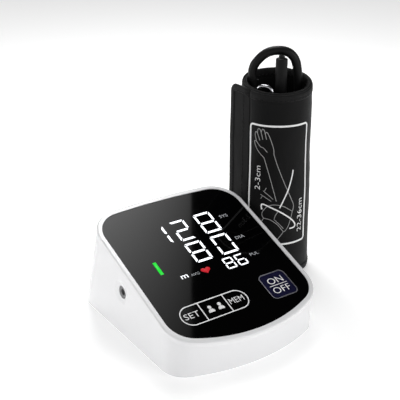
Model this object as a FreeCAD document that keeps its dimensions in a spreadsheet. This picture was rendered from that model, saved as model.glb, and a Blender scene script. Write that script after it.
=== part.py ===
import FreeCAD, Part
import math
import os
import Sketcher
from FreeCAD import Placement, Rotation, Vector

# Home blood pressure monitor with its rolled arm cuff standing beside it.
# Millimetres.  X runs along the monitor's width, Y towards its back, +Z up, table at Z = 0.
# Parts of the monitor's sloping face are drawn in the face's own frame (u right, v up the
# slope, w out of the face), and parts of the cuff in the roll's frame about its own axis.

DIMENSIONS = (
    ("monitor_x", -26.3, "middle of the front panel's lower corners, on the table"),
    ("monitor_y", -50.8, "the same point, front to back"),
    ("panel_width", 103.0, "front panel"),
    ("panel_length", 101.0, "front panel, along the slope between its corners"),
    ("panel_front_bow", 13.3, "how far the panel's front edge bows out"),
    ("panel_back_bow", 2.4, "how far its back edge bows out"),
    ("panel_corner", 17.5, "corner radius of the panel"),
    ("panel_thick", 2.0, "front panel thickness"),
    ("panel_tilt", 20.65, "slope of the face, degrees"),
    ("panel_height", 28.0, "height of the face at its front corners"),
    ("rim_width", 3.4, "white frame round the panel"),
    ("rim_height", 3.6, "height of that frame"),
    ("rim_proud", 0.5, "how far the frame stands above the panel"),
    ("ledge_width", 2.4, "shelf of the frame under the panel"),
    ("rim_round", 1.3, "rounding of the frame's outer edge"),
    ("case_wall", 2.2, "wall of the main housing"),
    ("base_width", 108.2, "footprint of the main housing"),
    ("base_length", 115.4, "footprint, between its corners"),
    ("base_front_bow", 13.0, "bow of the footprint's front edge"),
    ("base_back_bow", 2.0, "bow of the footprint's back edge"),
    ("base_corner", 16.0, "corner radius of the footprint"),
    ("base_gap", 0.8, "height of the housing's lower edge"),
    ("cover_bottom", 1.2, "underside of the base cover"),
    ("cover_thick", 2.2, "base cover plate"),
    ("cover_inset", 1.2, "room behind the cover for the sloping back wall"),
    ("foot_radius", 5.0, "rubber foot"),
    ("foot_height", 2.0, "rubber foot"),
    ("cell_radius", 7.1, "AA cell"),
    ("cell_length", 49.2, "AA cell without its nipple"),
    ("cell_pitch", 14.8, "spacing of the cells"),
    ("bay_width", 61.0, "inside of the battery bay"),
    ("bay_length", 55.0, "inside of the battery bay"),
    ("bay_start", 50.5, "front wall of the bay, from the panel's front corners"),
    ("bay_height", 16.4, "inside height of the bay above the base cover's underside"),
    ("bay_wall", 1.5, "wall of the bay"),
    ("door_thick", 1.8, "battery door"),
    ("door_gap", 0.3, "clearance round the battery door"),
    ("board_depth", 9.0, "top of the circuit board below the face"),
    ("board_thick", 1.6, "circuit board"),
    ("key_gap", 0.15, "clearance round a key"),
    ("key_travel", 0.6, "how far a key moves in"),
    ("outline_width", 0.62, "light line round the keys"),
    ("pill_width", 47.7, "outline round the three small keys"),
    ("pill_height", 14.6, "the same, up the slope"),
    ("power_width", 19.8, "outline round the power key"),
    ("power_height", 20.2, "the same, up the slope"),
    ("power_corner", 3.6, "corner radius of the power key's outline"),
    ("socket_y", 56.0, "air socket, from the panel's front corners"),
    ("socket_z", 31.5, "air socket, height"),
    ("socket_radius", 2.1, "bore of the air socket"),
    ("socket_length", 12.0, "length of the air socket's bore"),
    ("dish_radius", 8.0, "dished recess round the air socket"),
    ("dish_depth", 1.1, "dished recess round the air socket"),
    ("pump_radius", 12.6, "head of the air pump"),
    ("motor_radius", 10.4, "motor of the air pump"),
    ("cuff_x", 57.3, "axis of the roll"),
    ("cuff_y", 29.2, "axis of the roll"),
    ("cuff_turn", -34.3, "direction of the roll's own x axis, degrees"),
    ("cuff_height", 138.5, "width of the cuff, which is the roll's height"),
    ("bore_radius", 20.7, "inside of the roll"),
    ("wrap_pitch", 1.1, "growth of the roll in one turn"),
    ("half_turns", 6, "half turns in the roll"),
    ("fabric_thick", 0.32, "inner or outer fabric"),
    ("bladder_thick", 0.25, "flat air bladder"),
    ("strip_thick", 1.0, "both fabrics with the bladder between them"),
    ("binding_height", 2.2, "tape over the cuff's long edges"),
    ("flap_length", 20.8, "free end that stands off the roll"),
    ("hook_thick", 0.8, "hook tape on the free end"),
    ("hose_radius", 3.0, "air hose"),
    ("arch_radius", 15.2, "arch of the hose above the roll"),
    ("arch_x", -1.6, "middle of that arch, across the roll"),
    ("arch_z", 141.7, "middle of that arch, height"),
    ("hose_back", 2.5, "how far the arch stands behind the roll's axis"),
    ("port_top", 137.0, "top of the hose port"),
    ("coil_radius", 19.6, "outside of the coiled hose in the bore"),
    ("coil_height", 28.0, "top of the coiled hose"),
    ("plug_radius", 3.9, "grip of the air plug"),
    ("nozzle_radius", 1.95, "nozzle of the air plug"),
    ("d_wire", 1.3, "wire radius of the D-bar"),
)

doc = FreeCAD.newDocument("blood_pressure_monitor")
sheet = doc.addObject("Spreadsheet::Sheet", "dims")
for row, (alias, value, meaning) in enumerate(DIMENSIONS, start=1):
    sheet.set(f"A{row}", meaning)
    sheet.set(f"B{row}", str(value))
    sheet.setAlias(f"B{row}", alias)
doc.recompute()
size = {alias: float(sheet.get(alias)) for alias, value, meaning in DIMENSIONS}

subparts = []
FACE = Placement(Vector(size["monitor_x"], size["monitor_y"], size["panel_height"]),
                 Rotation(Vector(1, 0, 0), size["panel_tilt"]))
TABLE = Placement(Vector(size["monitor_x"], size["monitor_y"], 0), Rotation())
ROLL = Placement(Vector(size["cuff_x"], size["cuff_y"], 0),
                 Rotation(Vector(0, 0, 1), size["cuff_turn"]))
PLACE_CELLS = {
    "face": (FACE, ("monitor_x", "monitor_y", "panel_height"), "panel_tilt"),
    "table": (TABLE, ("monitor_x", "monitor_y", None), None),
    "roll": (ROLL, ("cuff_x", "cuff_y", None), "cuff_turn"),
}


# ---------------------------------------------------------------- drawing helpers

def cell(value):
    """An expression for a sheet alias, or for a plain number."""
    return f"dims.{value}" if isinstance(value, str) else str(value)


def number(value):
    """The size in millimetres of a sheet alias or of a plain number."""
    return size[value] if isinstance(value, str) else value


def new_body(label, frame):
    """A PartDesign body placed in one of the three frames, its placement bound to the sheet."""
    placement, aliases, angle = PLACE_CELLS[frame]
    body = doc.addObject("PartDesign::Body", label)
    body.Label = label
    body.Placement = placement
    for axis, alias in zip("xyz", aliases):
        if alias:
            body.setExpression(f".Placement.Base.{axis}", cell(alias))
    if angle:
        body.setExpression(".Placement.Rotation.Angle", cell(angle))
    subparts.append(body)
    return body


def new_sketch(body, name, height=0.0, role="XY_Plane"):
    """A sketch on one of the body's own origin planes, raised by a height."""
    sketch = body.newObject("Sketcher::SketchObject", name)
    plane = next(item for item in body.Origin.OriginFeatures if item.Role == role)
    sketch.AttachmentSupport = [(plane, "")]
    sketch.MapMode = "FlatFace"
    sketch.AttachmentOffset = Placement(Vector(0, 0, number(height)), Rotation())
    if isinstance(height, str):
        sketch.setExpression(".AttachmentOffset.Base.z", cell(height))
    return sketch


def pad(body, sketch, length, down=False):
    """Extrudes a sketch, by a sheet size or a number."""
    feature = body.newObject("PartDesign::Pad", sketch.Name + "_pad")
    feature.Profile = sketch
    feature.Reversed = down
    feature.setExpression("Length", cell(length))
    sketch.Visibility = False
    doc.recompute()
    return feature


def pocket(body, sketch, length, up=False):
    """Cuts a sketch into the body, downwards unless told otherwise."""
    before = body.Shape.Volume
    feature = body.newObject("PartDesign::Pocket", sketch.Name + "_pocket")
    feature.Profile = sketch
    feature.Reversed = up
    feature.setExpression("Length", cell(length))
    doc.recompute()
    if body.Shape.Volume > before - 1e-3:
        raise RuntimeError(f"{sketch.Name} cuts nothing from {body.Label}")
    return feature


def closed_wire(sketch, edges):
    """Adds a chain of edges to a sketch and joins each one to the next."""
    first = sketch.GeometryCount
    for edge in edges:
        sketch.addGeometry(edge, False)
    for index in range(len(edges)):
        one = first + index
        two = first + (index + 1) % len(edges)
        ends = [(end, start) for end in (1, 2) for start in (1, 2)]
        end, start = min(ends, key=lambda pair: (
            sketch.getPoint(one, pair[0]) - sketch.getPoint(two, pair[1])).Length)
        sketch.addConstraint(Sketcher.Constraint("Coincident", one, end, two, start))


def add_circle(sketch, x, y, radius):
    """A circle with its radius held by the sheet."""
    index = sketch.addGeometry(
        Part.Circle(Vector(x, y, 0), Vector(0, 0, 1), number(radius)), False)
    place = sketch.addConstraint(Sketcher.Constraint("Radius", index, number(radius)))
    sketch.setExpression(f"Constraints[{place}]", cell(radius))


def add_rectangle(sketch, x, y, width, length):
    """A rectangle centred on (x, y), its sides held by the sheet."""
    half_w = number(width) / 2
    half_l = number(length) / 2
    corners = [Vector(x - half_w, y - half_l, 0), Vector(x + half_w, y - half_l, 0),
               Vector(x + half_w, y + half_l, 0), Vector(x - half_w, y + half_l, 0)]
    first = sketch.GeometryCount
    closed_wire(sketch, [Part.LineSegment(corners[i], corners[(i + 1) % 4]) for i in range(4)])
    for offset, kind in enumerate(("Horizontal", "Vertical", "Horizontal", "Vertical")):
        sketch.addConstraint(Sketcher.Constraint(kind, first + offset))
    across = sketch.addConstraint(Sketcher.Constraint(
        "DistanceX", first, 1, first, 2, number(width)))
    along = sketch.addConstraint(Sketcher.Constraint(
        "DistanceY", first + 1, 1, first + 1, 2, number(length)))
    sketch.setExpression(f"Constraints[{across}]", cell(width))
    sketch.setExpression(f"Constraints[{along}]", cell(length))


def rounded_edges(x, y, width, length, corner):
    """Edges of a rectangle with round corners, centred on (x, y)."""
    slant = corner * (1 - math.sqrt(0.5))
    ring = []
    for side_x, side_y in ((1, -1), (1, 1), (-1, 1), (-1, -1)):
        tip = Vector(x + side_x * width / 2, y + side_y * length / 2, 0)
        along_x = tip - Vector(side_x * corner, 0, 0)
        along_y = tip - Vector(0, side_y * corner, 0)
        middle = tip - Vector(side_x * slant, side_y * slant, 0)
        ends = (along_x, along_y) if side_x != side_y else (along_y, along_x)
        ring.append((ends[0], middle, ends[1]))
    edges = []
    for index, (start, middle, end) in enumerate(ring):
        edges.append(Part.Arc(start, middle, end))
        next_start = ring[(index + 1) % 4][0]
        if (next_start - end).Length > 1e-6:
            edges.append(Part.LineSegment(end, next_start))
    return edges


def case_edges(width, start, length, front_bow, back_bow, corner, grow=0.0):
    """Outline with bowed front and back edges, straight sides and tangent corner arcs."""
    half = width / 2 + grow
    radius = corner + grow
    points = {}
    for side, edge_y, bow in ((-1, start, front_bow), (1, start + length, back_bow)):
        sweep = (width ** 2 / 4 + bow ** 2) / (2 * bow)
        centre_y = edge_y - side * (sweep - bow)
        sweep += grow
        corner_x = half - radius
        reach = math.sqrt((sweep - radius) ** 2 - corner_x ** 2)
        corner_y = centre_y + side * reach
        outward = Vector(corner_x, side * reach, 0).normalize()
        on_bow = Vector(0, centre_y, 0) + outward * sweep
        middle = Vector(corner_x, corner_y, 0) + (outward + Vector(1, 0, 0)).normalize() * radius
        on_side = Vector(half, corner_y, 0)
        points[side] = (on_bow, middle, on_side, Vector(0, centre_y + side * sweep, 0))

    def mirrored(point):
        return Vector(-point.x, point.y, 0)

    front_bow_end, front_middle, front_side, front_tip = points[-1]
    back_bow_end, back_middle, back_side, back_tip = points[1]
    return [
        Part.Arc(mirrored(front_bow_end), front_tip, front_bow_end),
        Part.Arc(front_bow_end, front_middle, front_side),
        Part.LineSegment(front_side, back_side),
        Part.Arc(back_side, back_middle, back_bow_end),
        Part.Arc(back_bow_end, back_tip, mirrored(back_bow_end)),
        Part.Arc(mirrored(back_bow_end), mirrored(back_middle), mirrored(back_side)),
        Part.LineSegment(mirrored(back_side), mirrored(front_side)),
        Part.Arc(mirrored(front_side), mirrored(front_middle), mirrored(front_bow_end)),
    ]


def panel_edges(grow=0.0):
    """Outline of the front panel in the face's frame, grown outwards by an amount."""
    return case_edges(size["panel_width"], 0.0, size["panel_length"], size["panel_front_bow"],
                      size["panel_back_bow"], size["panel_corner"], grow)


def base_edges(grow=0.0, inset=0.0):
    """Outline of the housing's footprint, grown outwards, with its back edge moved in."""
    return case_edges(size["base_width"], 0.4, size["base_length"] - inset,
                      size["base_front_bow"], size["base_back_bow"], size["base_corner"], grow)


# Part primitives: each takes its sizes from the sheet and its place from a frame.

def place(obj, frame, position, rotation=None):
    """Sets a primitive in a frame, at a position and with a rotation of its own."""
    own = Placement(Vector(*position), rotation or Rotation())
    obj.Placement = PLACE_CELLS[frame][0].multiply(own)
    return obj


def box(name, frame, low, dims):
    """A box from its lowest corner in a frame."""
    solid = doc.addObject("Part::Box", name)
    for prop, value in zip(("Length", "Width", "Height"), dims):
        solid.setExpression(prop, cell(value))
    return place(solid, frame, low)


AXIS_TURN = {
    "z": Rotation(),
    "x": Rotation(Vector(0, 1, 0), 90),
    "y": Rotation(Vector(1, 0, 0), -90),
    "-z": Rotation(Vector(1, 0, 0), 180),
}


def rod(name, frame, base, radius, height, axis="z"):
    """A cylinder from the centre of its base, along one of the frame's axes."""
    solid = doc.addObject("Part::Cylinder", name)
    solid.setExpression("Radius", cell(radius))
    solid.setExpression("Height", cell(height))
    return place(solid, frame, base, AXIS_TURN[axis])


def cone(name, frame, base, radius1, radius2, height, axis="z"):
    """A cone from the centre of its base, along one of the frame's axes."""
    solid = doc.addObject("Part::Cone", name)
    solid.setExpression("Radius1", cell(radius1))
    solid.setExpression("Radius2", cell(radius2))
    solid.setExpression("Height", cell(height))
    return place(solid, frame, base, AXIS_TURN[axis])


def fuse(name, shapes):
    """Joins solids into one."""
    joined = doc.addObject("Part::MultiFuse", name)
    joined.Shapes = shapes
    return joined


def cut(name, base, tool):
    """Takes one solid away from another."""
    result = doc.addObject("Part::Cut", name)
    result.Base = base
    result.Tool = tool
    return result


def group(name, shapes):
    """Separate solids that share a node."""
    together = doc.addObject("Part::Compound", name)
    together.Links = shapes
    return together


def finish(label, obj):
    """Names an object as one of the sub-parts."""
    obj.Label = label
    subparts.append(obj)
    return obj


# ---------------------------------------------------------------- monitor: casings

def build_top_frame():
    """White frame round the front panel, with a shelf that the panel sits on."""
    body = new_body("top_frame", "face")
    ring = new_sketch(body, "frame_ring", "rim_proud")
    closed_wire(ring, panel_edges(size["rim_width"]))
    pad(body, ring, "rim_height", down=True)
    seat = new_sketch(body, "panel_seat", "rim_proud")
    closed_wire(seat, panel_edges(0.12))
    pocket(body, seat, size["rim_proud"] + size["panel_thick"])
    window = new_sketch(body, "frame_window", "rim_proud")
    closed_wire(window, panel_edges(-size["ledge_width"]))
    ring_cut = pocket(body, window, "rim_height")
    outer = [f"Edge{index}" for index, edge in enumerate(ring_cut.Shape.Edges, start=1)
             if edge.BoundBox.ZMin > size["rim_proud"] - 1e-3 and is_outer(edge)]
    rounded = body.newObject("PartDesign::Fillet", "frame_rounding")
    rounded.Base = (ring_cut, outer)
    rounded.setExpression("Radius", "dims.rim_round")
    doc.recompute()


def is_outer(edge):
    """Whether an edge of the frame's top lies on its outer outline."""
    point = edge.valueAt(edge.FirstParameter)
    outline = Part.Wire(panel_edge_shapes(size["rim_width"]))
    distance = outline.distToShape(Part.Vertex(Vector(point.x, point.y, 0)))[0]
    return distance < 0.05


def panel_edge_shapes(grow):
    """The panel's outline as edges of a shape."""
    return [edge.toShape() for edge in panel_edges(grow)]


def build_main_housing():
    """Wedge-shaped housing between the footprint and the sloping frame, open below."""
    body = new_body("main_housing", "table")
    frame_base = size["rim_proud"] - size["rim_height"]
    slope = Rotation(Vector(1, 0, 0), size["panel_tilt"])

    def ring(name, base_grow, top_grow, bottom, depth):
        low = new_sketch(body, name + "_low", bottom)
        closed_wire(low, base_edges(base_grow))
        high = new_sketch(body, name + "_high")
        high.AttachmentOffset = Placement(
            Vector(0, 0, size["panel_height"]) + slope.multVec(Vector(0, 0, depth)), slope)
        closed_wire(high, panel_edges(top_grow))
        return low, high

    low, high = ring("outer", 0.0, size["rim_width"] - 0.35, "base_gap", frame_base - 0.02)
    shell = body.newObject("PartDesign::AdditiveLoft", "housing_shell")
    shell.Profile = low
    shell.Sections = [high]
    shell.Ruled = True
    doc.recompute()
    wall = size["case_wall"]
    low, high = ring("inner", -wall, size["rim_width"] - wall - 0.3, 0.0, frame_base + 0.5)
    hollow = body.newObject("PartDesign::SubtractiveLoft", "housing_hollow")
    hollow.Profile = low
    hollow.Sections = [high]
    hollow.Ruled = True
    doc.recompute()
    return body


def bore_housing(body):
    """Cuts the air socket's dish and hole, the USB slot and the door's notch in the housing."""
    side = size["base_width"] / 2
    sphere_radius = (size["dish_radius"] ** 2 + size["dish_depth"] ** 2) / (2 * size["dish_depth"])
    dish = doc.addObject("Part::Sphere", "dish_cut")
    dish.Radius = sphere_radius
    place(dish, "table", (-side - 0.35 + size["dish_depth"] - sphere_radius,
                          size["socket_y"], size["socket_z"]))
    hole = rod("socket_hole", "table", (-side - 3, size["socket_y"], size["socket_z"]),
               4.2, 8.0, "x")
    boss = rod("socket_boss", "table", (-side + 1.2, size["socket_y"], size["socket_z"]),
               9.6, 2.6, "x")
    bay_half = size["bay_width"] / 2 + size["bay_wall"]
    notch = box("door_notch", "table", (-bay_half, 100, -1),
                (2 * bay_half, 25, size["cover_bottom"] + size["door_thick"] + 1.3))
    slot = box("usb_slot", "table", (side - 8, 70.0, 14.0), (12, 9.6, 3.9))
    joined = fuse("housing_with_boss", [body, boss])
    subparts.remove(body)
    body.Label = "housing_walls"
    housing = cut("housing_bored", joined, fuse("housing_cuts", [dish, hole, notch, slot]))
    finish("main_housing", housing)


def build_base_cover():
    """Base cover with the battery bay, four screw posts and seats for the feet."""
    body = new_body("base_cover", "table")
    outline = new_sketch(body, "cover_plate", "cover_bottom")
    closed_wire(outline, base_edges(-size["case_wall"] - 0.25, size["cover_inset"]))
    pad(body, outline, "cover_thick")
    bay_middle = size["bay_start"] + size["bay_length"] / 2
    bay = new_sketch(body, "bay_block", "cover_bottom")
    add_rectangle(bay, 0, bay_middle, size["bay_width"] + 2 * size["bay_wall"],
                  size["bay_length"] + 2 * size["bay_wall"])
    pad(body, bay, size["bay_height"] + size["bay_wall"])
    inside = new_sketch(body, "bay_inside", size["cover_bottom"] + size["bay_height"])
    add_rectangle(inside, 0, bay_middle, "bay_width", "bay_length")
    pocket(body, inside, size["bay_height"] - size["door_thick"])
    opening_start = size["bay_start"] + 1.0
    door_way = new_sketch(body, "door_way", size["cover_bottom"] + size["door_thick"] + 0.2)
    width = size["bay_width"] - 3.0 + 2 * size["door_gap"]
    add_rectangle(door_way, 0, opening_start + 35, width, 70)
    pocket(body, door_way, size["door_thick"] + 1.0)
    feet = new_sketch(body, "foot_seats", "cover_bottom")
    for x, y in foot_places():
        add_circle(feet, x, y, size["foot_radius"] + 0.2)
    pocket(body, feet, size["foot_height"] - size["cover_bottom"] + 0.1, up=True)
    posts = new_sketch(body, "screw_posts", size["cover_bottom"] + size["cover_thick"])
    for x, y in post_places():
        add_circle(posts, x, y, 3.6)
    pad(body, posts, 5.0)
    holes = new_sketch(body, "screw_holes", size["cover_bottom"] + size["cover_thick"] + 5.0)
    for x, y in post_places():
        add_circle(holes, x, y, 1.7)
    pocket(body, holes, 9.0)


def foot_places():
    """Centres of the four feet."""
    return [(side * 42.0, y) for side in (-1, 1) for y in (6.0, 103.0)]


def post_places():
    """Centres of the four case screws."""
    return [(side * 44.0, y) for side in (-1, 1) for y in (22.0, 88.0)]


def build_feet_and_screws():
    """Rubber feet in their seats, and the case screws in their posts."""
    feet = [rod(f"foot_{i}", "table", (x, y, 0), "foot_radius", "foot_height")
            for i, (x, y) in enumerate(foot_places())]
    finish("rubber_feet", group("feet", feet))
    screws = []
    for i, (x, y) in enumerate(post_places()):
        head = rod(f"screw_head_{i}", "table", (x, y, size["cover_bottom"] + 0.1), 1.65, 1.4)
        shank = rod(f"screw_shank_{i}", "table", (x, y, size["cover_bottom"] + 1.5), 1.2, 9.5)
        screws.append(fuse(f"case_screw_{i}", [head, shank]))
    finish("case_screws", group("screws", screws))


def build_battery_door():
    """Flat door that slides out at the back, with a ribbed thumb grip."""
    body = new_body("battery_door", "table")
    plate = new_sketch(body, "door_plate", "cover_bottom")
    start = size["bay_start"] + 1.0 + size["door_gap"]
    end = 0.4 + size["base_length"] - 1.0
    add_rectangle(plate, 0, (start + end) / 2, size["bay_width"] - 3.0, end - start)
    pad(body, plate, "door_thick")
    grip = new_sketch(body, "door_grip", "cover_bottom")
    for rib in range(5):
        add_rectangle(grip, 0, end - 4.0 - 2.0 * rib, 16.0, 0.9)
    pocket(body, grip, 0.5, up=True)


def build_battery_set():
    """Four AA cells with their end contacts."""
    bottom = size["cover_bottom"] + size["door_thick"] + 0.35
    centre_z = bottom + size["cell_radius"]
    start = size["bay_start"] + 3.4
    cells = []
    springs = []
    plates = []
    for i in range(4):
        x = (i - 1.5) * size["cell_pitch"]
        can = rod(f"cell_can_{i}", "table", (x, start, centre_z), "cell_radius", "cell_length", "y")
        nipple = rod(f"cell_tip_{i}", "table", (x, start + size["cell_length"], centre_z),
                     2.6, 1.2, "y")
        cells.append(fuse(f"cell_{i}", [can, nipple]))
        helix = Part.makeLongHelix(0.95, 2.6, 3.6)
        wire = Part.Wire(helix.Edges)
        profile = Part.Wire(Part.makeCircle(0.3, Vector(3.6, 0, 0), Vector(0, 1, 0)))
        coil = Part.BRepOffsetAPI.MakePipeShell(wire)
        coil.setFrenetMode(True)
        coil.add(profile)
        coil.build()
        coil.makeSolid()
        spring = doc.addObject("Part::Feature", f"spring_{i}")
        spring.Shape = coil.shape()
        place(spring, "table", (x, start - 3.0, centre_z), AXIS_TURN["y"])
        springs.append(spring)
        plates.append(box(f"contact_{i}", "table", (x - 4.5, start + size["cell_length"] + 1.25,
                                                   centre_z - 5), (9, 0.3, 10)))
    finish("battery_cells", group("cells", cells))
    finish("battery_springs", group("springs", springs))
    finish("contact_plates", group("plates", plates))


# ---------------------------------------------------------------- monitor: face and keys

PILL_CENTRE = (-17.3, 10.3)
POWER_CENTRE = (31.0, 10.7)
PILL_DIVIDERS = (-25.9, -8.1)


def pill_edges(grow=0.0):
    """Outline round the three small keys, grown outwards by an amount."""
    height = size["pill_height"] + 2 * grow
    return rounded_edges(*PILL_CENTRE, size["pill_width"] + 2 * grow, height, height / 2 - 1e-4)


def power_edges(grow=0.0):
    """Outline round the power key, grown outwards by an amount."""
    return rounded_edges(*POWER_CENTRE, size["power_width"] + 2 * grow,
                         size["power_height"] + 2 * grow, size["power_corner"] + grow)


def build_front_panel():
    """Black lens with cut-outs for the key outlines."""
    body = new_body("front_panel", "face")
    outline = new_sketch(body, "lens")
    closed_wire(outline, panel_edges())
    pad(body, outline, "panel_thick", down=True)
    for name, edges in (("pill_cut", pill_edges(0.05)), ("power_cut", power_edges(0.05))):
        window = new_sketch(body, name)
        closed_wire(window, edges)
        pocket(body, window, "panel_thick")


def key_window(left, right):
    """Edges of one small key's window between two places along the pill."""
    line = size["outline_width"]
    low = PILL_CENTRE[1] - size["pill_height"] / 2 + line
    high = PILL_CENTRE[1] + size["pill_height"] / 2 - line
    middle = PILL_CENTRE[1]
    radius = (high - low) / 2
    pill_left = PILL_CENTRE[0] - size["pill_width"] / 2 + line
    pill_right = PILL_CENTRE[0] + size["pill_width"] / 2 - line
    edges = []
    if left is None:
        start = pill_left + radius
        edges.append(Part.Arc(Vector(start, high, 0), Vector(pill_left, middle, 0),
                              Vector(start, low, 0)))
    else:
        start = left + line / 2
        edges.append(Part.LineSegment(Vector(start, high, 0), Vector(start, low, 0)))
    if right is None:
        end = pill_right - radius
        edges.append(Part.LineSegment(Vector(start, low, 0), Vector(end, low, 0)))
        edges.append(Part.Arc(Vector(end, low, 0), Vector(pill_right, middle, 0),
                              Vector(end, high, 0)))
    else:
        end = right - line / 2
        edges.append(Part.LineSegment(Vector(start, low, 0), Vector(end, low, 0)))
        edges.append(Part.LineSegment(Vector(end, low, 0), Vector(end, high, 0)))
    edges.append(Part.LineSegment(Vector(end, high, 0), Vector(start, high, 0)))
    return edges


KEY_WINDOWS = {
    "key_set": (None, PILL_DIVIDERS[0]),
    "key_user": PILL_DIVIDERS,
    "key_memory": (PILL_DIVIDERS[1], None),
}
KEY_STEMS = {
    "key_set": (-33.0, 10.3),
    "key_user": (-17.0, 10.3),
    "key_memory": (-1.5, 10.3),
    "key_power": (31.0, 10.7),
}


def build_key_outlines():
    """Light frames round the keys, flush with the panel."""
    body = new_body("key_outline", "face")
    outer = new_sketch(body, "pill_outer", 0.05)
    closed_wire(outer, pill_edges())
    pad(body, outer, "panel_thick", down=True)
    for name, (left, right) in KEY_WINDOWS.items():
        window = new_sketch(body, name + "_window", 0.05)
        closed_wire(window, key_window(left, right))
        pocket(body, window, "panel_thick")
    body = new_body("power_key_outline", "face")
    outer = new_sketch(body, "power_outer", 0.05)
    closed_wire(outer, power_edges())
    pad(body, outer, "panel_thick", down=True)
    window = new_sketch(body, "power_window", 0.05)
    closed_wire(window, power_edges(-size["outline_width"]))
    pocket(body, window, "panel_thick")


def shrunk(edges, gap):
    """The same closed outline moved inwards by a gap."""
    wire = Part.Wire([edge.toShape() for edge in edges])
    inner = wire.makeOffset2D(-gap)
    return inner.Edges


def build_key(label, edges):
    """A key: a cap in its window, and a stem that ends short of its switch."""
    body = new_body(label, "face")
    cap = new_sketch(body, label + "_cap", -0.05)
    for edge in shrunk(edges, size["key_gap"]):
        curve = edge.Curve.trim(edge.FirstParameter, edge.LastParameter)
        cap.addGeometry(curve, False)
    pad(body, cap, 2.4, down=True)
    stem = new_sketch(body, label + "_stem", -2.45)
    add_circle(stem, *KEY_STEMS[label], 1.8)
    pad(body, stem, 2.2, down=True)


def build_keys():
    """The three small keys and the power key."""
    for label, (left, right) in KEY_WINDOWS.items():
        build_key(label, key_window(left, right))
    build_key("key_power", power_edges(-size["outline_width"]))


# ---------------------------------------------------------------- monitor: inside

def build_electronics():
    """Display block, circuit board with its parts, switches, buzzer and USB socket."""
    display = new_body("display_module", "face")
    block = new_sketch(display, "display_block", -size["panel_thick"] - 0.1)
    add_rectangle(block, 0.5, 59.0, 80.0, 58.0)
    pad(display, block, 6.0, down=True)
    wells = new_sketch(display, "digit_wells", -size["panel_thick"] - 0.1)
    for x, y, width, length in DIGIT_WELLS:
        add_rectangle(wells, x, y, width, length)
    pocket(display, wells, 1.2)

    board = new_body("main_board", "face")
    sheet_cut = new_sketch(board, "board_blank", -size["board_depth"])
    add_rectangle(sheet_cut, 0, 46.0, 90.0, 84.0)
    pad(board, sheet_cut, "board_thick", down=True)
    holes = new_sketch(board, "board_holes", -size["board_depth"])
    for x, y in BOARD_SCREWS:
        add_circle(holes, x, y, 1.5)
    pocket(board, holes, "board_thick")

    screws = []
    for i, (x, y) in enumerate(BOARD_SCREWS):
        head = rod(f"board_head_{i}", "face", (x, y, -size["board_depth"] - 3.3), 2.6, 1.7)
        shank = rod(f"board_shank_{i}", "face", (x, y, -size["board_depth"] - 1.65), 1.3, 5.2)
        screws.append(fuse(f"board_screw_{i}", [head, shank]))
    finish("board_screws", group("board_screw_set", screws))

    under = -size["board_depth"] - size["board_thick"]
    chips = []
    for i, (x, y, length, width, height) in enumerate(BOARD_PARTS):
        chips.append(box(f"chip_{i}", "face", (x, y, under - height), (length, width, height)))
    for i, (x, y) in enumerate(((34.0, 44.0), (34.0, 52.0), (-38.0, 44.0))):
        chips.append(rod(f"capacitor_{i}", "face", (x, y, under), 2.5, 5.5, "-z"))
    finish("board_components", group("chips", chips))

    switches = []
    for label, (x, y) in KEY_STEMS.items():
        base = box(f"switch_{label}", "face", (x - 3, y - 3, -size["board_depth"]), (6, 6, 3.0))
        dome = rod(f"plunger_{label}", "face", (x, y, -size["board_depth"] + 3.0), 1.7, 0.6)
        switches.append(fuse(f"tact_{label}", [base, dome]))
    finish("key_switches", group("switches", switches))

    can = rod("buzzer_can", "face", (20.0, 24.0, under), 6.0, 4.5, "-z")
    vent = rod("buzzer_vent", "face", (20.0, 24.0, under - 2.5), 1.0, 3.0, "-z")
    finish("buzzer", cut("buzzer_cut", can, vent))

    side = size["base_width"] / 2
    shell = box("usb_shell", "table", (side - 10.2, 70.25, 14.3), (9.0, 9.1, 3.3))
    mouth = box("usb_mouth", "table", (side - 9.0, 70.6, 14.65), (9.0, 8.4, 2.6))
    tongue = box("usb_tongue", "table", (side - 9.2, 71.6, 15.6), (6.0, 6.4, 0.7))
    finish("usb_socket", fuse("usb_whole", [cut("usb_hollow", shell, mouth), tongue]))
    carrier = box("usb_carrier", "table", (side - 21.0, 66.0, 12.6), (18.0, 17.6, 1.6))
    finish("usb_board", carrier)


DIGIT_WELLS = (
    (-14.0, 73.9, 4.0, 18.0), (-1.4, 73.9, 12.6, 18.6), (18.6, 73.9, 13.4, 18.6),
    (-1.3, 53.3, 13.0, 17.6), (18.3, 53.3, 13.4, 17.6),
    (12.1, 37.7, 7.4, 9.8), (21.0, 37.7, 7.4, 9.8), (-33.2, 50.0, 3.2, 11.0),
)
BOARD_SCREWS = ((-42.0, 26.0), (42.0, 26.0), (-42.0, 84.0), (42.0, 84.0))
BOARD_PARTS = (
    (-8.0, 40.0, 12.0, 12.0, 1.5), (10.0, 40.0, 8.0, 6.0, 1.4), (-30.0, 20.0, 6.0, 5.0, 1.4),
    (24.0, 60.0, 10.0, 5.0, 3.6), (-36.0, 66.0, 8.0, 5.0, 3.6),
)


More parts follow.
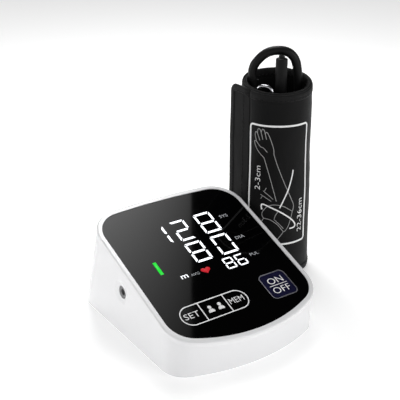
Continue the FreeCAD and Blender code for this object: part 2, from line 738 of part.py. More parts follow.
def build_pneumatics():
    """Air pump, release valve, pressure sensor, manifold, tubes and the air socket."""
    pump_y = 92.0
    pump_z = size["cover_bottom"] + size["bay_height"] + size["bay_wall"] + 14.0
    motor = rod("motor_can", "table", (-2.0, pump_y, pump_z), "motor_radius", 25.0, "x")
    shaft = rod("motor_boss", "table", (23.0, pump_y, pump_z), 3.0, 1.6, "x")
    tabs = box("motor_tabs", "table", (23.0, pump_y - 7.0, pump_z - 1.0), (3.0, 2.0, 2.0))
    finish("pump_motor", fuse("motor", [motor, shaft, tabs]))
    head = rod("pump_drum", "table", (-18.0, pump_y, pump_z), "pump_radius", 16.0, "x")
    nozzle = rod("pump_nozzle", "table", (-24.0, pump_y, pump_z), 1.9, 6.0, "x")
    finish("pump_head", fuse("pump", [head, nozzle]))

    valve_block = box("valve_block", "table", (-39.0, 60.0, 20.0), (12.0, 14.0, 11.0))
    valve_tip = rod("valve_tip", "table", (-33.0, 74.0, 26.0), 1.9, 5.0, "y")
    finish("release_valve", fuse("valve", [valve_block, valve_tip]))

    under = -size["board_depth"] - size["board_thick"]
    sensor = box("sensor_can", "face", (-30.0, 30.0, under - 4.0), (8.0, 8.0, 4.0))
    port = rod("sensor_port", "face", (-26.0, 34.0, under - 4.0), 1.6, 3.0, "-z")
    finish("pressure_sensor", fuse("sensor", [sensor, port]))

    side = size["base_width"] / 2
    y, z = size["socket_y"], size["socket_z"]
    barrel = rod("socket_barrel", "table", (-side + 0.85, y, z), 4.0, "socket_length", "x")
    flange = rod("socket_flange", "table", (-side + 3.9, y, z), 7.0, 1.6, "x")
    tail = rod("socket_tail", "table", (-side + 0.85 + size["socket_length"], y, z), 4.0, 2.0, "x")
    spigot = rod("socket_spigot", "table", (-side + 2.85 + size["socket_length"], y, z),
                 1.9, 5.0, "x")
    bore = rod("socket_bore", "table", (-side, y, z), "socket_radius",
               size["socket_length"] + 0.85, "x")
    passage = rod("socket_passage", "table", (-side, y, z), 0.9, 22.0, "x")
    outer = fuse("socket_outer", [barrel, flange, tail, spigot])
    finish("air_socket", cut("socket", outer, fuse("socket_ways", [bore, passage])))

    start = Vector(-side + 2.85 + size["socket_length"], y, z)
    tee = Vector(-24.5, 71.0, 34.5)
    tee_half = 3.0
    routes = {
        "socket_line": [start + Vector(0.3, 0, 0), start + Vector(8.0, 0, 0),
                        Vector(-27.5, 61.5, 33.5), tee - Vector(0, tee_half + 2.0, 0)],
        "pump_line": [tee + Vector(0, tee_half + 0.2, 0), Vector(tee.x, 81.0, tee.z),
                      Vector(-28.5, 87.0, 33.4), Vector(-25.7, pump_y - 1.0, pump_z)],
    }
    tubes = []
    for name, points in routes.items():
        tube = doc.addObject("Part::Feature", name)
        tube.Shape = hose_solid(points, 2.6, 1.95, 1.2)[0]
        tube.Placement = TABLE
        tubes.append(tube)
    finish("air_tubes", group("tubes", tubes))
    body = rod("tee_body", "table", (tee.x, tee.y - tee_half, tee.z), 2.9, 2 * tee_half, "y")
    finish("air_manifold", body)


# ---------------------------------------------------------------- hoses

def hose_path(points, least):
    """Straight runs joined by tangent arcs, each as large as its two runs allow."""
    edges = []
    radii = []
    start = points[0]
    for before, corner, after in zip(points, points[1:], points[2:]):
        back = before - corner
        ahead = after - corner
        shorter = min(back.Length, ahead.Length)
        turn = math.pi - back.getAngle(ahead)
        reach = 0.45 * shorter
        radius = reach / math.tan(turn / 2)
        if radius < least:
            raise RuntimeError(f"bend of {radius:.1f} mm is too tight")
        back.normalize()
        ahead.normalize()
        arc_start = corner + back * reach
        arc_end = corner + ahead * reach
        bisector = (back + ahead).normalize()
        centre_way = radius / math.cos(turn / 2)
        middle = corner + bisector * (centre_way - radius)
        edges.append(Part.LineSegment(start, arc_start).toShape())
        edges.append(Part.Arc(arc_start, middle, arc_end).toShape())
        start = arc_end
        radii.append(radius)
    edges.append(Part.LineSegment(start, points[-1]).toShape())
    return Part.Wire(edges), radii


def swept(path, points, radius):
    """A round section swept along a path."""
    direction = (points[1] - points[0]).normalize()
    profile = Part.Wire(Part.makeCircle(radius, points[0], direction))
    pipe = Part.BRepOffsetAPI.MakePipeShell(path)
    pipe.add(profile)
    pipe.build()
    pipe.makeSolid()
    return pipe.shape()


def hose_solid(points, radius, inside=0.0, least=None):
    """A hose along a route, and its length.  With an inside radius it is open right through."""
    path, radii = hose_path(points, least or 2 * radius)
    solid = swept(path, points, radius)
    section = math.pi * radius ** 2
    error = abs(solid.Volume / (section * path.Length) - 1)
    if error > 0.01:
        raise RuntimeError(f"hose volume is off by {100 * error:.1f} percent")
    if inside:
        solid = solid.cut(swept(path, points, inside))
    print("hose", round(path.Length, 1), "mm long, bends", [round(r, 1) for r in radii])
    return solid, path.Length


# ---------------------------------------------------------------- cuff

WRAP_END = math.radians(-140.0)
END_WAY = Vector(math.cos(WRAP_END), math.sin(WRAP_END), 0)
FLAP_WAY = Vector(math.sin(WRAP_END), -math.cos(WRAP_END), 0)


def wrap_edges(inner, outer, first=0, last=None):
    """Edges of a strip wound clockwise outwards in half turns about two centres."""
    last = int(size["half_turns"]) if last is None else last
    step = size["wrap_pitch"] / 2

    def half_turn(index, offset):
        centre = END_WAY * (step if index % 2 else 0.0)
        radius = size["bore_radius"] + index * step + offset
        side = END_WAY * (radius * (-1 if index % 2 else 1))
        across = FLAP_WAY * (radius * (-1 if index % 2 else 1))
        return centre + side, centre + across, centre - side

    edges = [Part.Arc(*half_turn(index, outer)) for index in range(first, last)]
    outer_end = half_turn(last - 1, outer)[2]
    inner_end = half_turn(last - 1, inner)[2]
    edges.append(Part.LineSegment(outer_end, inner_end))
    for index in range(last - 1, first - 1, -1):
        start, middle, end = half_turn(index, inner)
        edges.append(Part.Arc(end, middle, start))
    edges.append(Part.LineSegment(half_turn(first, inner)[0], half_turn(first, outer)[0]))
    return edges


def build_roll():
    """Outer and inner fabric, bladder and the tape over the long edges, all wound up."""
    height = size["cuff_height"]
    tape = size["binding_height"]
    between = height - 2 * tape
    fabric = size["fabric_thick"]
    strip = size["strip_thick"]
    layers = (
        ("inner_fabric", 0.0, fabric, tape, between, 0, None),
        ("air_bladder", fabric + 0.05, fabric + 0.05 + size["bladder_thick"], 14.0, 110.0, 1, 5),
        ("outer_fabric", strip - fabric, strip, tape, between, 0, None),
        ("edge_binding", 0.0, strip, 0.0, tape, 0, None),
    )
    for label, inner, outer, bottom, rise, first, last in layers:
        body = new_body(label, "roll")
        section = new_sketch(body, label + "_section", bottom)
        closed_wire(section, wrap_edges(inner, outer, first, last))
        pad(body, section, rise)
        if label == "edge_binding":
            upper = new_sketch(body, label + "_upper", height - tape)
            closed_wire(upper, wrap_edges(inner, outer, first, last))
            pad(body, upper, rise)


def flap_edges(start, end, inner, outer):
    """Edges of a flat strip along the free end, between two distances from its crease."""
    crease = END_WAY * (size["bore_radius"] + size["half_turns"] * size["wrap_pitch"] / 2)
    corners = [crease + FLAP_WAY * along + END_WAY * out
               for along, out in ((start, inner), (end, inner), (end, outer), (start, outer))]
    return [Part.LineSegment(corners[i], corners[(i + 1) % 4]) for i in range(4)]


def build_flap():
    """Free end of the cuff, and the hook tape sewn on its inside."""
    body = new_body("closing_flap", "roll")
    section = new_sketch(body, "flap_section", 0.3)
    closed_wire(section, flap_edges(0.35, size["flap_length"], 0.0, size["strip_thick"]))
    pad(body, section, size["cuff_height"] - 0.6)
    body = new_body("hook_tape", "roll")
    section = new_sketch(body, "hook_section", 9.0)
    closed_wire(section, flap_edges(7.0, size["flap_length"] - 0.8, -size["hook_thick"], -0.02))
    pad(body, section, size["cuff_height"] - 18.0)


D_BAR_PIVOT = Vector(-14.9, -10.0, 0)
D_BAR_FREE = Vector(-5.6, -13.8, 0)


def build_d_bar():
    """Long wire loop at the cuff's inner end, and the fabric loop that holds one side of it."""
    low, high, bend = 34.0, 136.4, 4.2
    way = D_BAR_FREE - D_BAR_PIVOT
    width = way.Length
    way.normalize()

    def at(along, z):
        return D_BAR_PIVOT + way * along + Vector(0, 0, z)

    near = bend * (1 - math.sqrt(0.5))
    edges = [
        Part.LineSegment(at(0, low + bend), at(0, high - bend)),
        Part.Arc(at(0, high - bend), at(near, high - near), at(bend, high)),
        Part.LineSegment(at(bend, high), at(width - bend, high)),
        Part.Arc(at(width - bend, high), at(width - near, high - near), at(width, high - bend)),
        Part.LineSegment(at(width, high - bend), at(width, low + bend)),
        Part.Arc(at(width, low + bend), at(width - near, low + near), at(width - bend, low)),
        Part.LineSegment(at(width - bend, low), at(bend, low)),
        Part.Arc(at(bend, low), at(near, low + near), at(0, low + bend)),
    ]
    path = Part.Wire([edge.toShape() for edge in edges])
    loop = doc.addObject("Part::Feature", "d_bar_loop")
    loop.Shape = swept(path, [at(0, low + bend), at(0, high - bend)], size["d_wire"])
    loop.Placement = ROLL
    finish("d_bar", loop)

    x, y = D_BAR_PIVOT.x, D_BAR_PIVOT.y
    low, rise = 46.0, 76.0
    sleeve = rod("strap_sleeve", "roll", (x, y, low), 2.2, rise)
    tab = doc.addObject("Part::Box", "strap_tab")
    for prop, value in (("Length", 2.6), ("Width", 7.0), ("Height", rise)):
        tab.setExpression(prop, cell(value))
    turn = Rotation(Vector(0, 0, 1), math.degrees(WRAP_END))
    corner = turn.multVec(Vector(size["bore_radius"] - 3.0, -3.5, 0)) + Vector(0, 0, low)
    place(tab, "roll", tuple(corner), turn)
    channel = rod("strap_channel", "roll", (x, y, low - 1.0), size["d_wire"] + 0.1, rise + 2.0)
    finish("d_bar_strap", cut("strap", fuse("strap_whole", [sleeve, tab]), channel))


# ---------------------------------------------------------------- air hose

RISER = (0.8, -5.5)
PLUG_BOTTOM = 125.4


def arch_route():
    """Route of the hose from its port over the arch and down to the coil."""
    back = size["hose_back"]
    reach = size["arch_radius"] / math.cos(math.radians(22.5))
    points = [Vector(size["arch_x"] - size["arch_radius"], back, size["port_top"])]
    for degrees in (157.5, 112.5, 67.5, 22.5):
        turn = math.radians(degrees)
        points.append(Vector(size["arch_x"] + reach * math.cos(turn), back,
                             size["arch_z"] + reach * math.sin(turn)))
    points.append(Vector(14.0, 3.2, 128.0))
    points.append(Vector(14.6, 5.6, 98.0))
    points.append(Vector(14.0, 8.4, 68.0))
    points.append(Vector(12.8, 10.6, 45.0))
    points.append(Vector(12.0, 11.6, size["coil_height"] + 0.3))
    return points


def riser_route():
    """Route of the hose's end from the coil up to the plug."""
    return [Vector(7.0, -3.4, size["coil_height"] + 0.3), Vector(5.2, -3.0, 56.0),
            Vector(2.4, -4.4, 88.0), Vector(*RISER, 110.0), Vector(*RISER, PLUG_BOTTOM)]


def build_hose():
    """Port, hose, its coil in the roll's bore, boot and air plug."""
    side = size["arch_x"] - size["arch_radius"]
    top, low = size["port_top"], 112.0
    out = Vector(side, size["hose_back"], 0).normalize()
    sleeve = rod("port_sleeve", "roll", (side, size["hose_back"], low), 3.4, top - low)
    flange = doc.addObject("Part::Cylinder", "port_flange")
    flange.Radius = 5.4
    flange.Height = 1.8
    reach = math.sqrt((size["bore_radius"] - 0.25) ** 2 - flange.Radius.Value ** 2)
    base = out * (reach - flange.Height.Value) + Vector(0, 0, 119.0)
    place(flange, "roll", tuple(base), Rotation(Vector(0, 0, 1), out))
    finish("hose_port", fuse("port", [sleeve, flange]))

    coil = doc.addObject("Part::Cylinder", "coil_body")
    coil.setExpression("Radius", cell("coil_radius"))
    coil.setExpression("Height", f"dims.coil_height - {COIL_LIFT}")
    finish("hose_coil", place(coil, "roll", (0, 0, COIL_LIFT)))

    for label, route in (("hose_arch", arch_route()), ("hose_riser", riser_route())):
        tube = doc.addObject("Part::Feature", label + "_tube")
        tube.Shape = hose_solid(route, size["hose_radius"])[0]
        tube.Placement = ROLL
        finish(label, tube)

    top = riser_route()[-1].z
    hose = size["hose_radius"]
    boot = cone("boot_body", "roll", (*RISER, top - 9.0), hose + 0.35, "plug_radius", 9.0)
    way = rod("boot_way", "roll", (*RISER, top - 10.0), hose + 0.05, 12.0)
    finish("plug_boot", cut("boot", boot, way))

    plug = new_body("air_plug", "roll")
    grip = new_sketch(plug, "plug_grip", top)
    add_circle(grip, *RISER, "plug_radius")
    barrel = pad(plug, grip, GRIP_LENGTH)
    rounding = plug.newObject("PartDesign::Fillet", "plug_rounding")
    edges = barrel.Shape.Edges
    top_edge = max(range(len(edges)), key=lambda index: edges[index].BoundBox.ZMin)
    rounding.Base = (barrel, [f"Edge{top_edge + 1}"])
    rounding.Radius = 1.3
    nozzle = new_sketch(plug, "plug_nozzle", top + GRIP_LENGTH - 0.1)
    add_circle(nozzle, *RISER, "nozzle_radius")
    pad(plug, nozzle, NOZZLE_LENGTH + 0.1)
    bore = new_sketch(plug, "plug_bore", top + GRIP_LENGTH + NOZZLE_LENGTH)
    add_circle(bore, *RISER, 0.9)
    pocket(plug, bore, GRIP_LENGTH + NOZZLE_LENGTH)


COIL_LIFT = 0.15
GRIP_LENGTH = 28.2
NOZZLE_LENGTH = 1.7


# ---------------------------------------------------------------- build and write

def write_parts():
    """Checks every object and writes each sub-part to its own file."""
    doc.recompute()
    failed = [obj.Name for obj in doc.Objects if {"Invalid", "Error"} & set(obj.State)]
    if failed:
        raise RuntimeError(f"failed objects: {failed}")
    labels = [part.Label for part in subparts]
    if len(set(labels)) != len(labels):
        raise RuntimeError("two sub-parts share a name")
    os.makedirs("parts", exist_ok=True)
    for part in subparts:
        shape = part.Shape
        if shape.isNull() or not shape.isValid():
            raise RuntimeError(f"{part.Label} has no valid shape")
        shape.exportStep(f"parts/{part.Label}.step")
    print(len(subparts), "sub-parts written")


build_top_frame()
bore_housing(build_main_housing())
build_base_cover()
build_feet_and_screws()
build_battery_door()
build_battery_set()
build_front_panel()
build_key_outlines()
build_keys()
build_electronics()
build_pneumatics()
build_roll()
build_flap()
build_d_bar()
build_hose()
write_parts()
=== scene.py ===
import math

import bmesh
import bpy
from mathutils import Matrix, Vector, noise


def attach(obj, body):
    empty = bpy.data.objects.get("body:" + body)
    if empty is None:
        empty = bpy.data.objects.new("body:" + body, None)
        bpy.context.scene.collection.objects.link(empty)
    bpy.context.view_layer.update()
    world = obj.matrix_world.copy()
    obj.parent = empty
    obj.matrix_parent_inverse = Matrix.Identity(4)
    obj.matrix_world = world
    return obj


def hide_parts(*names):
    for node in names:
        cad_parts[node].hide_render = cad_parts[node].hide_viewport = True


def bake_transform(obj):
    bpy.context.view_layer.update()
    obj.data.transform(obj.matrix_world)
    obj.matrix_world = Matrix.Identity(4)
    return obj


# Looks of a home blood pressure monitor with its rolled arm cuff, in metres, in the CAD frame.
# The monitor's moulded parts keep their CAD shapes and get materials, a lit display and
# printed legends.  The cuff's plain solids are replaced by sewn fabric and a real hose.
# Drawing sizes below are millimetres, in the face's frame (u right, v up the slope, w out)
# or in the roll's frame about its own upright axis.

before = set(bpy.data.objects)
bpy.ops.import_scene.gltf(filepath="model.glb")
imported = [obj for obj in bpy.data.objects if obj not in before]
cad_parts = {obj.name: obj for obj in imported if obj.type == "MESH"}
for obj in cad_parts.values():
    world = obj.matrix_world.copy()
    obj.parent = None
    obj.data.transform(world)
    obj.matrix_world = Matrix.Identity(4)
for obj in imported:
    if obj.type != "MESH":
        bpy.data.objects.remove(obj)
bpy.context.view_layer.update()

MM = 0.001
PANEL_ORIGIN = Vector((-26.3, -50.8, 28.0)) * MM
FACE_TILT = math.radians(20.65)
FACE = Matrix.Translation(PANEL_ORIGIN) @ Matrix.Rotation(FACE_TILT, 4, "X")
ROLL_AXIS = Vector((57.3, 29.2, 0.0)) * MM
ROLL_TURN = math.radians(-34.3)
ROLL = Matrix.Translation(ROLL_AXIS) @ Matrix.Rotation(ROLL_TURN, 4, "Z")


def on_face(u, v, w=0.0):
    """A point of the monitor's face in the row frame."""
    return FACE @ (Vector((u, v, w)) * MM)


def on_roll(x, y, z):
    """A point beside the roll's axis in the row frame."""
    return ROLL @ (Vector((x, y, z)) * MM)


# ---------------------------------------------------------------- camera, lights, floor

CAMERA_PLACE = (-0.2924, -0.3907, 0.2916)
CAMERA_AZIMUTH = math.radians(34.27)
CAMERA_PITCH = math.radians(23.95)
CAMERA_LENS = 75.74


def make_camera():
    """Camera in front of the object, to its left and above it."""
    data = bpy.data.cameras.new("camera")
    data.sensor_width = 36.0
    data.lens = CAMERA_LENS
    data.clip_start = 0.01
    camera = bpy.data.objects.new("camera", data)
    bpy.context.collection.objects.link(camera)
    forward = Vector((math.sin(CAMERA_AZIMUTH) * math.cos(CAMERA_PITCH),
                      math.cos(CAMERA_AZIMUTH) * math.cos(CAMERA_PITCH),
                      -math.sin(CAMERA_PITCH)))
    camera.location = CAMERA_PLACE
    camera.rotation_euler = forward.to_track_quat("-Z", "Y").to_euler()
    bpy.context.scene.camera = camera


def area_light(name, place, target, size, power):
    """A soft rectangular light aimed at a point."""
    data = bpy.data.lights.new(name, "AREA")
    data.shape = "RECTANGLE"
    data.size, data.size_y = size
    data.energy = power
    lamp = bpy.data.objects.new(name, data)
    bpy.context.collection.objects.link(lamp)
    lamp.location = place
    aim = Vector(target) - Vector(place)
    lamp.rotation_euler = aim.to_track_quat("-Z", "Y").to_euler()
    lamp.visible_camera = False
    return lamp


def make_sky():
    """Surroundings that are bright round the horizon and dark overhead, as in a light tent."""
    world = bpy.data.worlds.new("studio")
    world.use_nodes = True
    nodes, links = world.node_tree.nodes, world.node_tree.links
    direction = nodes.new("ShaderNodeTexCoord").outputs["Generated"]
    parts = nodes.new("ShaderNodeSeparateXYZ")
    links.new(direction, parts.inputs["Vector"])
    falloff = nodes.new("ShaderNodeMapRange")
    falloff.interpolation_type = "SMOOTHSTEP"
    falloff.inputs["From Min"].default_value = 0.3
    falloff.inputs["From Max"].default_value = 0.78
    falloff.inputs["To Min"].default_value = 0.75
    falloff.inputs["To Max"].default_value = 0.06
    links.new(parts.outputs["Z"], falloff.inputs["Value"])
    facing = nodes.new("ShaderNodeVectorMath")
    facing.operation = "DOT_PRODUCT"
    facing.inputs[1].default_value = (-0.93, -0.37, 0.0)
    links.new(direction, facing.inputs[0])
    side = nodes.new("ShaderNodeMapRange")
    side.inputs["From Min"].default_value = -1.0
    side.inputs["To Min"].default_value = 0.35
    side.inputs["To Max"].default_value = 1.2
    links.new(facing.outputs["Value"], side.inputs["Value"])
    both = nodes.new("ShaderNodeMath")
    both.operation = "MULTIPLY"
    links.new(falloff.outputs["Result"], both.inputs[0])
    links.new(side.outputs["Result"], both.inputs[1])
    links.new(both.outputs["Value"], nodes["Background"].inputs["Strength"])
    nodes["Background"].inputs["Color"].default_value = (1, 1, 1, 1)
    bpy.context.scene.world = world


def grade(light):
    """Fades a card of light along its length, like a soft box lit from one end."""
    light.use_nodes = True
    nodes, links = light.node_tree.nodes, light.node_tree.links
    spot = nodes.new("ShaderNodeNewGeometry").outputs["Parametric"]
    parts = nodes.new("ShaderNodeSeparateXYZ")
    links.new(spot, parts.inputs["Vector"])
    both = nodes.new("ShaderNodeMath")
    both.operation = "MULTIPLY"
    for slot, (axis, low, high, first, last) in enumerate((("Y", 0.0, 1.0, 0.1, 2.0),
                                                           ("X", 0.45, 1.0, 1.5, 0.3))):
        fade = nodes.new("ShaderNodeMapRange")
        fade.inputs["From Min"].default_value = low
        fade.inputs["From Max"].default_value = high
        fade.inputs["To Min"].default_value = first
        fade.inputs["To Max"].default_value = last
        links.new(parts.outputs[axis], fade.inputs["Value"])
        links.new(fade.outputs["Result"], both.inputs[slot])
    links.new(both.outputs["Value"], nodes["Emission"].inputs["Strength"])


CARD_PLACE = Vector((0.1485, 0.2137, 0.6))
CARD_TURN = math.radians(-26.7)


def make_lights():
    """A soft box above, whose edge shows in the black face, and large fills left and in front."""
    overhead = area_light("overhead", CARD_PLACE, (CARD_PLACE.x, CARD_PLACE.y, 0.0),
                          (0.30, 0.50), 2.4)
    overhead.rotation_euler = (0.0, 0.0, CARD_TURN)
    grade(overhead.data)
    area_light("left", (-1.9, 1.25, 0.6), (0.0, 0.0, 0.06), (1.2, 1.0), 15.0)
    area_light("front", (1.0, -1.9, 0.9), (0.0, 0.0, 0.05), (1.2, 1.0), 19.0)
    make_sky()
    bpy.context.scene.view_settings.view_transform = "Standard"


# ---------------------------------------------------------------- materials

class Surface:
    """A Principled material whose colour, roughness and relief come from small patterns."""

    def __init__(self, name, colour, roughness, **sockets):
        self.material = bpy.data.materials.new(name)
        self.material.use_nodes = True
        self.nodes = self.material.node_tree.nodes
        self.links = self.material.node_tree.links
        self.shader = self.nodes["Principled BSDF"]
        self.colour = colour
        self.roughness = roughness
        self.shader.inputs["Base Color"].default_value = (*colour, 1.0)
        self.shader.inputs["Roughness"].default_value = roughness
        for socket, value in sockets.items():
            self.shader.inputs[socket.replace("_", " ")].default_value = value
        self.place = self.nodes.new("ShaderNodeTexCoord").outputs["Object"]
        self.height = None

    def noise_value(self, scale, detail=3.0):
        """A noise pattern with features of about one over the scale, in metres."""
        node = self.nodes.new("ShaderNodeTexNoise")
        node.inputs["Scale"].default_value = scale
        node.inputs["Detail"].default_value = detail
        self.links.new(self.place, node.inputs["Vector"])
        return node.outputs["Fac"]

    def mapped(self, value, low, high):
        """A value from 0 to 1 spread between two others."""
        node = self.nodes.new("ShaderNodeMapRange")
        node.inputs["To Min"].default_value = low
        node.inputs["To Max"].default_value = high
        self.links.new(value, node.inputs["Value"])
        return node.outputs["Result"]

    def uneven(self, scale, colour_by=0.06, roughness_by=0.05):
        """Slight changes of shade and of gloss."""
        value = self.noise_value(scale)
        mix = self.nodes.new("ShaderNodeMix")
        mix.data_type = "RGBA"
        mix.inputs["A"].default_value = (*[c * (1 - colour_by) for c in self.colour], 1.0)
        mix.inputs["B"].default_value = (*[min(1.0, c * (1 + colour_by)) for c in self.colour],
                                         1.0)
        self.links.new(value, mix.inputs["Factor"])
        self.links.new(mix.outputs["Result"], self.shader.inputs["Base Color"])
        gloss = self.mapped(value, max(0.02, self.roughness - roughness_by),
                            self.roughness + roughness_by)
        self.links.new(gloss, self.shader.inputs["Roughness"])
        return self

    def relief(self, value, strength, depth):
        """Adds a height pattern to the surface's bump."""
        bump = self.nodes.new("ShaderNodeBump")
        bump.inputs["Strength"].default_value = strength
        bump.inputs["Distance"].default_value = depth
        self.links.new(value, bump.inputs["Height"])
        if self.height is not None:
            self.links.new(self.height, bump.inputs["Normal"])
        self.height = bump.outputs["Normal"]
        self.links.new(self.height, self.shader.inputs["Normal"])
        return self

    def grain(self, scale, strength, depth):
        """Moulded or leathery grain."""
        return self.relief(self.noise_value(scale, 4.0), strength, depth)

    def weave(self, pitch, strength, depth):
        """Crossed threads along the piece's own length and width, from its UV map."""
        uv = self.nodes.new("ShaderNodeUVMap").outputs["UV"]
        bands = []
        for direction in ("X", "Y"):
            wave = self.nodes.new("ShaderNodeTexWave")
            wave.wave_type = "BANDS"
            wave.bands_direction = direction
            wave.inputs["Scale"].default_value = WAVE_PERIODS / pitch
            wave.inputs["Distortion"].default_value = 0.4
            wave.inputs["Detail"].default_value = 1.0
            self.links.new(uv, wave.inputs["Vector"])
            bands.append(wave.outputs["Fac"])
        both = self.nodes.new("ShaderNodeMath")
        both.operation = "MULTIPLY"
        self.links.new(bands[0], both.inputs[0])
        self.links.new(bands[1], both.inputs[1])
        return self.relief(both.outputs["Value"], strength, depth)


WAVE_PERIODS = 0.314  # a wave texture of scale 1 has a period of about 0.314 units


def make_materials():
    """Every material of the object, by name."""
    made = {
        "shell": Surface("gloss_white_shell", (0.79, 0.79, 0.8), 0.22,
                         Coat_Weight=0.3, Coat_Roughness=0.08)
        .uneven(90, 0.012, 0.05).grain(1500, 0.04, 0.00005),
        "base": Surface("matte_white_base", (0.76, 0.76, 0.77), 0.5)
        .uneven(120, 0.02, 0.06).grain(2200, 0.25, 0.00008),
        "lens": Surface("black_acrylic", (0.0006, 0.0006, 0.0007), 0.05,
                        Specular_IOR_Level=0.12)
        .uneven(60, 0.1, 0.015),
        "key": Surface("black_key", (0.0008, 0.0008, 0.0009), 0.07, Specular_IOR_Level=0.12)
        .uneven(140, 0.1, 0.02),
        "power_key": Surface("navy_key", (0.008, 0.008, 0.03), 0.1, Specular_IOR_Level=0.25)
        .uneven(220, 0.5, 0.03),
        "print": Surface("white_print", (0.9, 0.9, 0.91), 0.42)
        .uneven(900, 0.04, 0.06),
        "silver": Surface("satin_silver", (0.55, 0.55, 0.6), 0.3, Metallic=1.0)
        .uneven(700, 0.06, 0.06),
        "lit_white": Surface("lit_digits", (0.9, 0.92, 0.95), 0.4,
                             Emission_Color=(0.93, 0.96, 1.0, 1.0), Emission_Strength=1.0)
        .uneven(300, 0.02, 0.03),
        "lit_grey": Surface("lit_labels", (0.3, 0.31, 0.33), 0.4,
                            Emission_Color=(0.93, 0.96, 1.0, 1.0), Emission_Strength=0.2)
        .uneven(300, 0.02, 0.03),
        "lit_green": Surface("lit_green_bar", (0.01, 0.25, 0.03), 0.4,
                             Emission_Color=(0.0, 0.7, 0.02, 1.0), Emission_Strength=0.85)
        .uneven(300, 0.03, 0.03),
        "lit_red": Surface("lit_red_heart", (0.2, 0.005, 0.008), 0.4,
                           Emission_Color=(0.75, 0.005, 0.02, 1.0), Emission_Strength=0.55)
        .uneven(300, 0.03, 0.03),
        "rubber": Surface("black_rubber_feet", (0.03, 0.03, 0.03), 0.75)
        .uneven(300, 0.15, 0.08).grain(2500, 0.3, 0.0001),
        "steel": Surface("plain_steel", (0.55, 0.55, 0.57), 0.32, Metallic=1.0)
        .uneven(500, 0.08, 0.08).grain(1800, 0.1, 0.00004),
        "nickel": Surface("nickel_plate", (0.68, 0.67, 0.64), 0.25, Metallic=1.0)
        .uneven(400, 0.08, 0.07),
        "chrome": Surface("polished_wire", (0.42, 0.42, 0.44), 0.22, Metallic=1.0)
        .uneven(400, 0.05, 0.05),
        "cell": Surface("cell_sleeve", (0.02, 0.07, 0.05), 0.35, Coat_Weight=0.4)
        .uneven(200, 0.15, 0.06),
        "board": Surface("green_board", (0.008, 0.06, 0.025), 0.35, Coat_Weight=0.2)
        .uneven(700, 0.25, 0.08).grain(900, 0.2, 0.00008),
        "chip": Surface("black_epoxy", (0.02, 0.02, 0.021), 0.5)
        .uneven(900, 0.2, 0.1).grain(3000, 0.2, 0.00005),
        "pump": Surface("pump_plastic", (0.03, 0.03, 0.032), 0.45)
        .uneven(300, 0.15, 0.08).grain(1500, 0.2, 0.00008),
        "display": Surface("display_block", (0.02, 0.02, 0.022), 0.6)
        .uneven(300, 0.15, 0.08),
        # The bush's grey is made darker than its own colour to paint the shade deep inside the
        # socket's bore.
        "socket": Surface("socket_bush_painted_bore_shade", (0.16, 0.16, 0.165), 0.4)
        .uneven(400, 0.1, 0.08),
        "silicone": Surface("silicone_tube", (0.6, 0.6, 0.56), 0.4)
        .uneven(200, 0.06, 0.08),
        "fabric": Surface("coated_black_nylon", (0.003, 0.003, 0.0032), 0.5,
                          Specular_IOR_Level=0.11)
        .uneven(140, 0.25, 0.07).weave(0.0007, 0.35, 0.00012).grain(260, 0.25, 0.0004),
        "liner": Surface("black_nylon_liner", (0.0032, 0.0032, 0.0033), 0.62,
                         Specular_IOR_Level=0.1)
        .uneven(160, 0.25, 0.07).weave(0.0009, 0.5, 0.00015),
        "binding": Surface("woven_edge_tape", (0.004, 0.004, 0.0042), 0.55,
                           Specular_IOR_Level=0.15)
        .uneven(200, 0.2, 0.07).weave(0.0012, 0.7, 0.00025),
        "thread": Surface("black_thread", (0.007, 0.007, 0.0073), 0.5,
                          Specular_IOR_Level=0.2)
        .uneven(1500, 0.3, 0.1).grain(4000, 0.4, 0.0001),
        "hook": Surface("hook_tape", (0.004, 0.004, 0.0042), 0.8,
                        Specular_IOR_Level=0.2)
        .uneven(500, 0.3, 0.08).grain(1600, 1.0, 0.0006),
        "hose": Surface("black_hose", (0.0042, 0.0042, 0.0044), 0.42,
                        Specular_IOR_Level=0.16)
        .uneven(120, 0.2, 0.08).grain(700, 0.12, 0.0002),
        "plug": Surface("black_plug", (0.0042, 0.0042, 0.0044), 0.45,
                        Specular_IOR_Level=0.16)
        .uneven(160, 0.15, 0.08).grain(1800, 0.25, 0.00008),
        "cuff_print": Surface("grey_white_ink", (0.86, 0.86, 0.86), 0.5)
        .uneven(500, 0.12, 0.06),
        "arm_print": Surface("thin_grey_ink", (0.33, 0.33, 0.33), 0.55)
        .uneven(500, 0.2, 0.06),
        "floor": Surface("white_floor", (0.9, 0.9, 0.9), 0.9,
                         Emission_Color=(1.0, 1.0, 1.0, 1.0), Emission_Strength=0.4)
        .uneven(4, 0.004, 0.02),
    }
    return {name: surface.material for name, surface in made.items()}


NODE_MATERIALS = {
    "shell": ("top_frame", "main_housing"),
    "base": ("base_cover", "battery_door"),
    "lens": ("front_panel",),
    "key": ("key_set", "key_user", "key_memory"),
    "power_key": ("key_power",),
    "print": ("key_outline",),
    "silver": ("power_key_outline",),
    "rubber": ("rubber_feet",),
    "steel": ("case_screws", "board_screws", "usb_socket", "pump_motor"),
    "nickel": ("battery_springs", "contact_plates"),
    "chrome": ("d_bar",),
    "cell": ("battery_cells",),
    "board": ("main_board", "usb_board"),
    "chip": ("board_components", "key_switches", "buzzer"),
    "pump": ("pump_head", "release_valve", "pressure_sensor", "air_manifold"),
    "display": ("display_module",),
    # The air socket's darker grey is painted shade for its deep bore.
    "socket": ("air_socket",),
    "silicone": ("air_tubes",),
    "plug": ("hose_port", "plug_boot", "air_plug"),
}


def paint_nodes(materials):
    """Gives the CAD parts their materials."""
    for look, nodes in NODE_MATERIALS.items():
        for node in nodes:
            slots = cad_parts[node].data.materials
            slots.clear()
            slots.append(materials[look])


# ---------------------------------------------------------------- mesh helpers

